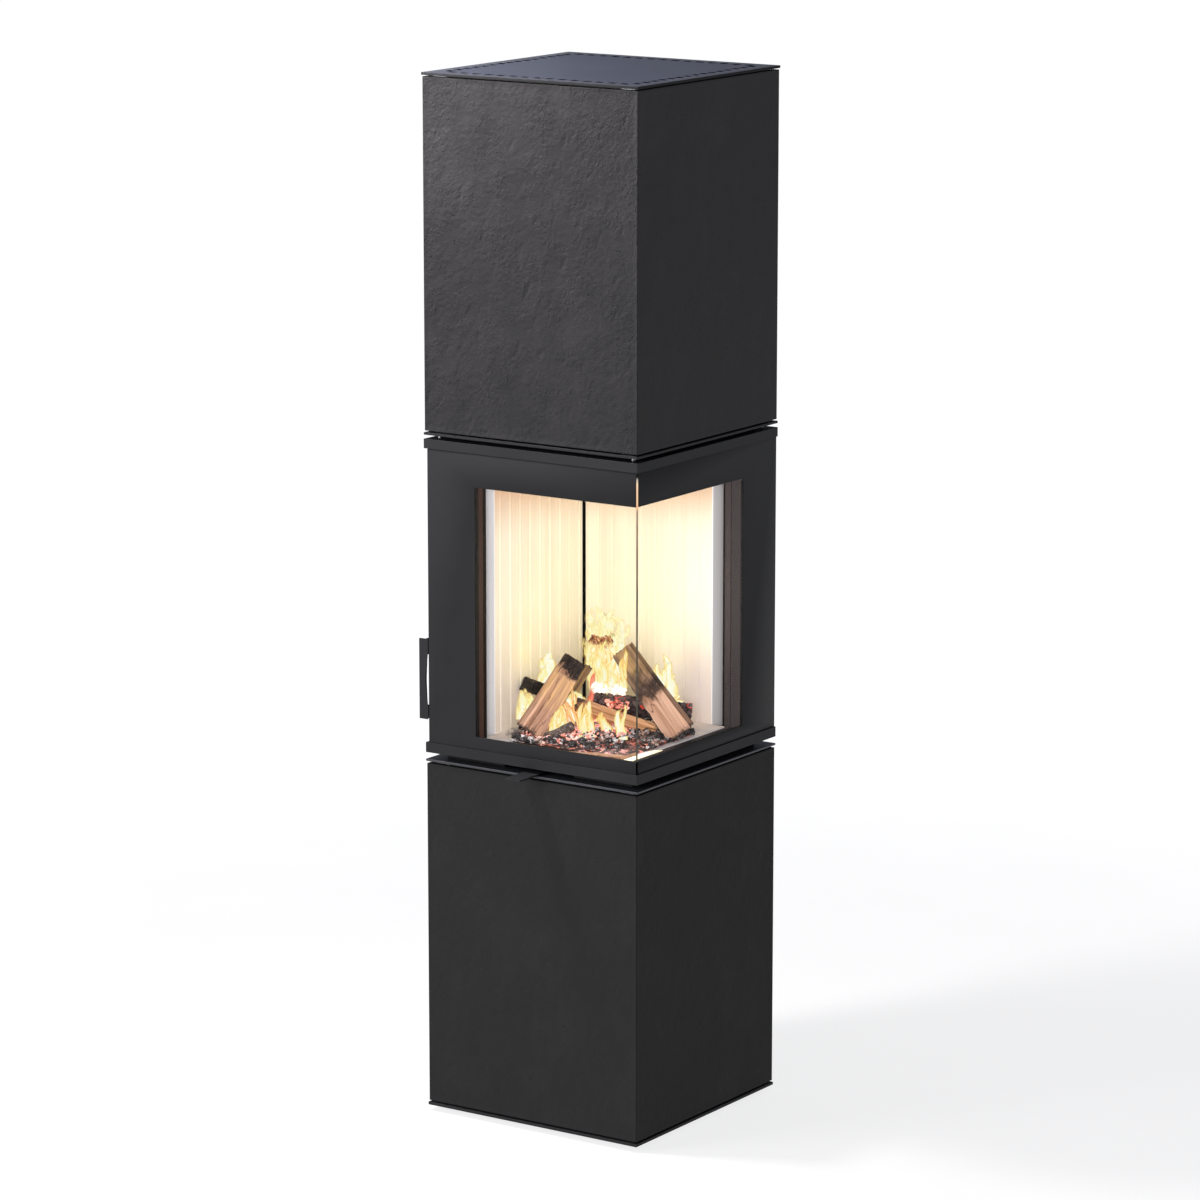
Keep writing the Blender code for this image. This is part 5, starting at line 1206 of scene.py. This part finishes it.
# a split stick that stands in the flames: glowing white-yellow along its length with painted flame light, dark red at
# its tip
stick = {"from": (0.022, -0.005, 0.245), "to": (-0.026, -0.010, 0.556), "radius": 0.056, "wideFoot": 0.30,
         "segments": 40, "steps": 60, "tipFrom": 0.90, "wobbles": ((1.6, 3, 0, 0.30), (5, 9, 3, 0.50)),
         "splinter": 0.014}


def stickFinish(name):
    material, place = startMaterial(name)
    low, high = firePlace(*stick["from"]).z, firePlace(*stick["to"]).z
    share = spread(axesOf(place)["Z"], low, high)
    fibres = streaksAt(place, (260, 260, 40), 4, 0.6, 0.6)
    edge = swayed(share, 0.7, fibres)
    dark = eased(edge, stick["tipFrom"] - 0.03, stick["tipFrom"] + 0.03)
    hot = ramp(fibres, [(0.36, (1.0, 0.52, 0.14)), (0.46, (1.0, 0.86, 0.38)), (0.62, (1.0, 0.98, 0.74))])
    tip = ramp(fibres, [(0.40, (0.04, 0.008, 0.004)), (0.54, (0.24, 0.05, 0.02)), (0.66, (0.95, 0.55, 0.25))])
    return dressed(material, {
        "Emission Color": mixed(dark, hot, tip),
        "Emission Strength": 1.0,
        "Base Color": ramp(fibres, [(0.4, (0.03, 0.015, 0.012)), (0.6, (0.20, 0.12, 0.09))]),
        "Normal": bump(fibres, 0.8, 0.0015),
        "Roughness": 0.9})


def standingStick():
    bm = bmesh.new()
    low, high = firePlace(*stick["from"]), firePlace(*stick["to"])
    radius = stick["radius"] * hearth["width"]
    bmesh.ops.create_circle(bm, cap_ends=True, segments=stick["segments"], radius=radius)
    top = bm.faces[:]
    for step in range(stick["steps"]):
        drawn = drawOut(bm, top, (high - low) / stick["steps"])
        bmesh.ops.delete(bm, geom=top, context="FACES_ONLY")
        top = only(BMFace, drawn)
    bmesh.ops.poke(bm, faces=top)
    for vert in bm.verts:
        share = vert.co.z / (high - low).z
        angle = math.atan2(vert.co.y, vert.co.x - (high - low).x * share)
        way = Vector((math.cos(angle), math.sin(angle), 0))
        wobble = sum(wave(way.x * around, way.y * around, share * up + start) * depth
                     for around, up, start, depth in stick["wobbles"])
        vert.co += way * radius * (wobble + stick["wideFoot"] * max(0.0, 1 - share * 2.6))
        if share > 0.99:
            vert.co.z += stick["splinter"] * wave(vert.co.x * 170, vert.co.y * 170, 1)
    bmesh.ops.translate(bm, vec=low, verts=bm.verts)
    finishPiece("standingStick", bm, [stickFinish("flameGlowStick")], "stove", (), 50)


# flames: tongues of fire, thin curved sheets that taper to a tip, every third one crossed by a second sheet
def flameFinish(name, stops, solid):
    material, place = startMaterial(name)
    flat = axesOf(addNode(material.node_tree, "ShaderNodeTexCoord").outputs["UV"])
    across = maths("ABSOLUTE", timesAdd(flat["X"], 2.0, -1.0))
    height = flat["Y"]
    licks = streaksAt(place, (88, 88, 20), 3, 0.5, 0.9)
    wisps = streaksAt(place, (230, 230, 44), 3, 0.6, 1.2)
    folds = streaksAt(place, (34, 34, 17), 2, 0.5, 1.2)
    body = less(0.86, times(maths("POWER", across, 1.6), 0.85))
    body = timesAdd(height, -0.34, body)
    for pattern, amount in ((folds, 1.3), (licks, 1.5), (wisps, 0.7)):
        body = swayed(body, amount, pattern)
    cover = times(eased(body, *solid, 0.0, 0.96), eased(height, 0.0, 0.06),
                  eased(across, 0.75, 0.98, 1.0, 0.0), eased(height, 0.90, 1.0, 1.0, 0.0))
    dressed(material, {
        "Alpha": cover,
        "Emission Color": ramp(body, stops),
        "Base Color": (0, 0, 0),
        "Specular IOR Level": 0,
        "Roughness": 1,
        "Emission Strength": 1})
    material.surface_render_method = "BLENDED"
    return material


flameSkins = {
    "bright": flameFinish("brightFlames",
                          [(0.12, (1.0, 0.42, 0.11)), (0.24, (1.0, 0.68, 0.22)), (0.42, (1.0, 0.90, 0.36)),
                                           (0.70, (1.0, 1.0, 0.80))], (0.10, 0.40)),
    "warm": flameFinish("warmFlames",
                        [(0.12, (1.0, 0.34, 0.08)), (0.26, (1.0, 0.56, 0.16)), (0.44, (1.0, 0.82, 0.28)),
                                       (0.75, (1.0, 0.98, 0.68))], (0.10, 0.38)),
    "pale": flameFinish("paleWisps", [(0.14, (1.0, 0.48, 0.26)), (0.30, (1.0, 0.72, 0.34)), (0.48, (1.0, 0.92, 0.42)),
                                      (0.85, (1.0, 0.99, 0.70))], (0.16, 0.70)),
    "ember": flameFinish("emberFlames",
                         [(0.10, (0.75, 0.15, 0.03)), (0.40, (1.0, 0.42, 0.12)), (0.80, (1.0, 0.72, 0.32))],
                         (0.05, 0.30)),
    "red": flameFinish("redHeat", [(0.10, (0.80, 0.12, 0.06)), (0.50, (0.95, 0.22, 0.14)), (0.85, (1.0, 0.50, 0.34))],
                       (0.02, 0.30))}

# where each group burns on the hearth, how far it spreads, and the sizes of its tongues in shares of the width
flames = {
    "heartFlames": {"foot": (0.020, 0.05, 0.22), "spread": (0.060, 0.01, 0.02), "count": 4, "height": (0.30, 0.44),
                    "width": (0.100, 0.150), "lean": 0.0, "seed": 1, "skin": "bright"},
    "heartEdges": {"foot": (0.030, -0.10, 0.30), "spread": (0.070, 0.01, 0.04), "count": 3, "height": (0.18, 0.26),
                   "width": (0.055, 0.085), "lean": 0.0, "seed": 14, "skin": "bright"},
    "topWisps": {"foot": (0.000, 0.03, 0.50), "spread": (0.055, 0.02, 0.04), "count": 4, "height": (0.22, 0.32),
                 "width": (0.080, 0.120), "lean": 0.0, "seed": 2, "skin": "pale", "sway": 0.020},
    "redStreak": {"foot": (-0.092, -0.07, 0.17), "spread": (0.004, 0.01, 0.01), "count": 1, "height": (0.22, 0.26),
                  "width": (0.026, 0.030), "lean": 0.01, "seed": 12, "skin": "red"},
    "rightFlames": {"foot": (0.335, 0.07, 0.15), "spread": (0.045, 0.03, 0.02), "count": 4, "height": (0.18, 0.30),
                    "width": (0.045, 0.070), "lean": -0.03, "seed": 3, "skin": "bright"},
    "rightLowFlames": {"foot": (0.425, 0.06, 0.13), "spread": (0.030, 0.02, 0.02), "count": 2, "height": (0.07, 0.15),
                       "width": (0.040, 0.065), "lean": -0.03, "seed": 4, "skin": "warm"},
    "leftFlames": {"foot": (-0.490, 0.00, 0.05), "spread": (0.050, 0.03, 0.02), "count": 3, "height": (0.13, 0.20),
                   "width": (0.060, 0.090), "lean": 0.03, "seed": 5, "skin": "bright"},
    "branchFlames": {"foot": (-0.330, 0.20, 0.20), "spread": (0.07, 0.01, 0.03), "count": 3, "height": (0.14, 0.24),
                     "width": (0.060, 0.090), "lean": 0.04, "seed": 6, "skin": "bright"},
    "bedGlare": {"foot": (-0.215, -0.10, 0.05), "spread": (0.060, 0.03, 0.01), "count": 5, "height": (0.14, 0.24),
                 "width": (0.100, 0.140), "lean": 0.0, "seed": 13, "skin": "bright"},
    "bedFlamesLeft": {"foot": (-0.255, -0.26, 0.03), "spread": (0.070, 0.02, 0.0), "count": 3, "height": (0.10, 0.20),
                      "width": (0.045, 0.075), "lean": 0.03, "seed": 7, "skin": "warm"},
    "bedFlamesMiddle": {"foot": (-0.075, -0.30, 0.02), "spread": (0.090, 0.02, 0.0), "count": 5,
                        "height": (0.14, 0.26),
                        "width": (0.032, 0.060), "lean": 0.0, "seed": 8, "skin": "warm"},
    "bedFlameRight": {"foot": (0.098, -0.33, 0.005), "spread": (0.008, 0.004, 0.0), "count": 2,
                      "height": (0.20, 0.24),
                      "width": (0.042, 0.052), "lean": 0.020, "seed": 9, "skin": "bright"},
    "edgeLicks": {"foot": (-0.150, -0.20, 0.05), "spread": (0.060, 0.02, 0.03), "count": 8, "height": (0.14, 0.32),
                  "width": (0.008, 0.014), "lean": -0.06, "seed": 10, "skin": "ember", "sway": 0.010},
    "rightEdgeLicks": {"foot": (0.105, -0.27, 0.36), "spread": (0.020, 0.01, 0.05), "count": 3,
                       "height": (0.14, 0.22),
                       "width": (0.024, 0.040), "lean": 0.0, "seed": 11, "skin": "warm"}}


tongueShape = {"cutsAcross": 6, "cutsUp": 22, "foot": 0.66, "swell": 1.5, "tip": 0.72, "least": 0.03, "fullness": 1.9,
               "bow": 0.7, "waves": 5.5, "sway": (0.25, 0.60), "leanSpread": 0.03, "turnSpread": 0.35,
               "crossedEach": 3}


def flameTongues(name, settings):
    picks = random.Random(settings["seed"])
    unit = hearth["width"]
    swing = (firePlace(1, 0, 0) - firePlace(0, 0, 0)).normalized()
    bm = bmesh.new()
    layer = bm.loops.layers.uv.new("UVMap")
    for tongue in range(settings["count"]):
        shift = [picks.uniform(-reach, reach) for reach in settings["spread"]]
        foot = firePlace(*(start + step for start, step in zip(settings["foot"], shift)))
        tall, wide = picks.uniform(*settings["height"]) * unit, picks.uniform(*settings["width"]) * unit
        phase = picks.uniform(0, 6.28)
        sway = picks.uniform(*tongueShape["sway"]) * wide + settings.get("sway", 0.0) * unit
        lean = (settings["lean"] + picks.uniform(-tongueShape["leanSpread"], tongueShape["leanSpread"])) * unit
        for crossing in ((0, 0.5) if tongue % tongueShape["crossedEach"] == 0 else (0,)):
            swerve = picks.uniform(-tongueShape["turnSpread"], tongueShape["turnSpread"])
            turn = hearth["facing"] + math.pi * crossing + swerve
            before = set(bm.faces)
            bmesh.ops.create_grid(bm, x_segments=tongueShape["cutsAcross"], y_segments=tongueShape["cutsUp"],
                                  size=0.5)
            fresh = [face for face in bm.faces if face not in before]
            for face in fresh:
                for loop in face.loops:
                    loop[layer].uv = (loop.vert.co.x + 0.5, loop.vert.co.y + 0.5)
            for vert in {vert for face in fresh for vert in face.verts}:
                u, v = vert.co.x, vert.co.y + 0.5
                profile = (tongueShape["foot"] + tongueShape["swell"] * v) * (1 - v) ** tongueShape["tip"]
                x = u * wide * (profile + tongueShape["least"]) * tongueShape["fullness"]
                bow = wide * u * u * tongueShape["bow"]
                bend = sway * v * math.sin(tongueShape["waves"] * v + phase)
                spot = Vector((x * math.cos(turn) - bow * math.sin(turn), x * math.sin(turn) + bow * math.cos(turn),
                               v * tall))
                vert.co = foot + spot + swing * (bend + lean * v)
    for face in bm.faces:
        face.smooth = True
    piece = addPiece(name, bm, [flameSkins[settings["skin"]]])
    piece.visible_diffuse = False  # the lamps inside the firebox stand for the fire's light
    piece.visible_shadow = False
    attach(piece, "stove")


print("flames")
standingStick()
for name, settings in flames.items():
    flameTongues(name, settings)


# light, floor and camera
print("studio")
studio = {"floorSize": 40.0, "floorTone": 0.24, "nearGlow": 0.80, "farGlow": 0.96, "near": 1.0, "far": 3.5,
          "around": (0.20, 0.21, 0.25), "backdrop": (1.0, 1.0, 1.0)}


def floorFinish():
    # nearly white all over, with a soft contact shadow close to the stove
    material, place = startMaterial("paleFloor")
    soft = noiseAt(place, 3, 3)
    tone = studio["floorTone"]
    away = addNode(place.id_data, "ShaderNodeVectorMath", {0: place}, operation="LENGTH").outputs["Value"]
    glow = eased(away, studio["near"], studio["far"], studio["nearGlow"], studio["farGlow"])
    return dressed(material, {
        "Base Color": ramp(soft, [(0.3, tone), (0.7, tone + 0.02)]),
        "Emission Strength": glow,
        "Emission Color": (1, 1, 1),
        "Roughness": 0.9,
        "Specular IOR Level": 0.0})


floorMesh = bmesh.new()
bmesh.ops.create_grid(floorMesh, x_segments=2, y_segments=2, size=studio["floorSize"])
floorPiece = addPiece("studioFloor", floorMesh, [floorFinish()])

world = bpy.data.worlds.new("studioWorld")
bpy.context.scene.world = world
world.use_nodes = True
worldTree = world.node_tree
paths = addNode(worldTree, "ShaderNodeLightPath")
seen = mixed(paths.outputs["Is Camera Ray"], studio["around"], studio["backdrop"])
setInputs(worldTree.nodes["Background"], {"Color": seen, "Strength": 1.0})

# a soft box that only fills what stands inside the glass
insideGlass = bpy.data.collections.new("insideGlass")
for name in ("fireclay_left", "fireclay_back", "fireclay_floor", "baffle_plate", "leaningLogLeft", "leaningLogRight",
             "crossLog", "charredLog", "charredBranch", "emberHeap", *lumps, *hotAsh, *footBits, "brownStick",
             "burntStump", "cornerBoard", "cornerBoardStep", "cornerStrip"):
    insideGlass.objects.link(bpy.data.objects[name])


def softLight(name, spot, aim, size, power, colour, lit=None):
    data = bpy.data.lights.new(name, "POINT" if aim is None else "AREA")
    data.energy = power
    data.color = colour
    lamp = bpy.data.objects.new(name, data)
    bpy.context.scene.collection.objects.link(lamp)
    lamp.location = spot
    if aim is None:
        data.shadow_soft_size = size
    else:
        data.shape = "RECTANGLE"
        data.size, data.size_y = size
        lamp.rotation_mode = "QUATERNION"
        lamp.rotation_quaternion = (Vector(aim) - Vector(spot)).to_track_quat("-Z", "Y")
    lamp.visible_camera = False
    if lit:
        lamp.light_linking.receiver_collection = lit


softLight("keyLight", (-0.60, -0.54, 2.45), (-0.06, -0.22, 1.74), (0.22, 0.22), 41, (1.0, 0.97, 1.0))
softLight("sheenBox", (-2.6, -3.8, 1.9), (0.0, -0.2, 1.0), (2.0, 2.4), 134, (1.0, 0.99, 1.0))
softLight("topWash", (0.2, 0.3, 4.6), (0.0, 0.0, 0.0), (3.5, 3.5), 14, (0.93, 0.95, 1.0))
softLight("topSheen", (-1.30, 0.94, 2.18), (0.0, 0.0, 1.868), (1.0, 0.5), 0.28, (0.90, 0.94, 1.0))
softLight("windowFill", (1.5, -2.1, 1.35), (0.03, -0.03, 0.90), (1.4, 1.0), 50, (1.0, 0.96, 0.96), insideGlass)
# the fire's own light inside the firebox
softLight("fireGlow", (0.030, -0.030, 0.90), None, 0.030, 0.28, (1.0, 0.82, 0.38))
softLight("fireHigh", (0.055, -0.055, 1.06), None, 0.030, 0.020, (1.0, 0.42, 0.12))
softLight("leftGlow", firePlace(-0.40, 0.12, 0.42), None, 0.010, 0.012, (1.0, 0.86, 0.16))
softLight("rightGlow", firePlace(0.30, 0.20, 0.45), None, 0.010, 0.010, (1.0, 0.84, 0.20))

lens = {"focal": 150.107, "sensor": 36, "reach": 60, "spot": (4.87351, -7.20815, 2.72086), "azimuth": 34.0852,
        "elevation": 11.6625}
cameraData = bpy.data.cameras.new("photoCamera")
cameraData.lens = lens["focal"]
cameraData.sensor_width = lens["sensor"]
cameraData.clip_end = lens["reach"]
camera = bpy.data.objects.new("photoCamera", cameraData)
bpy.context.scene.collection.objects.link(camera)
around, above = math.radians(lens["azimuth"]), math.radians(lens["elevation"])
backward = Vector((math.sin(around) * math.cos(above), -math.cos(around) * math.cos(above), math.sin(above)))
camera.location = lens["spot"]
camera.rotation_mode = "QUATERNION"
camera.rotation_quaternion = (-backward).to_track_quat("-Z", "Y")
bpy.context.scene.camera = camera
bpy.context.scene.view_settings.view_transform = "Standard"

print("done")
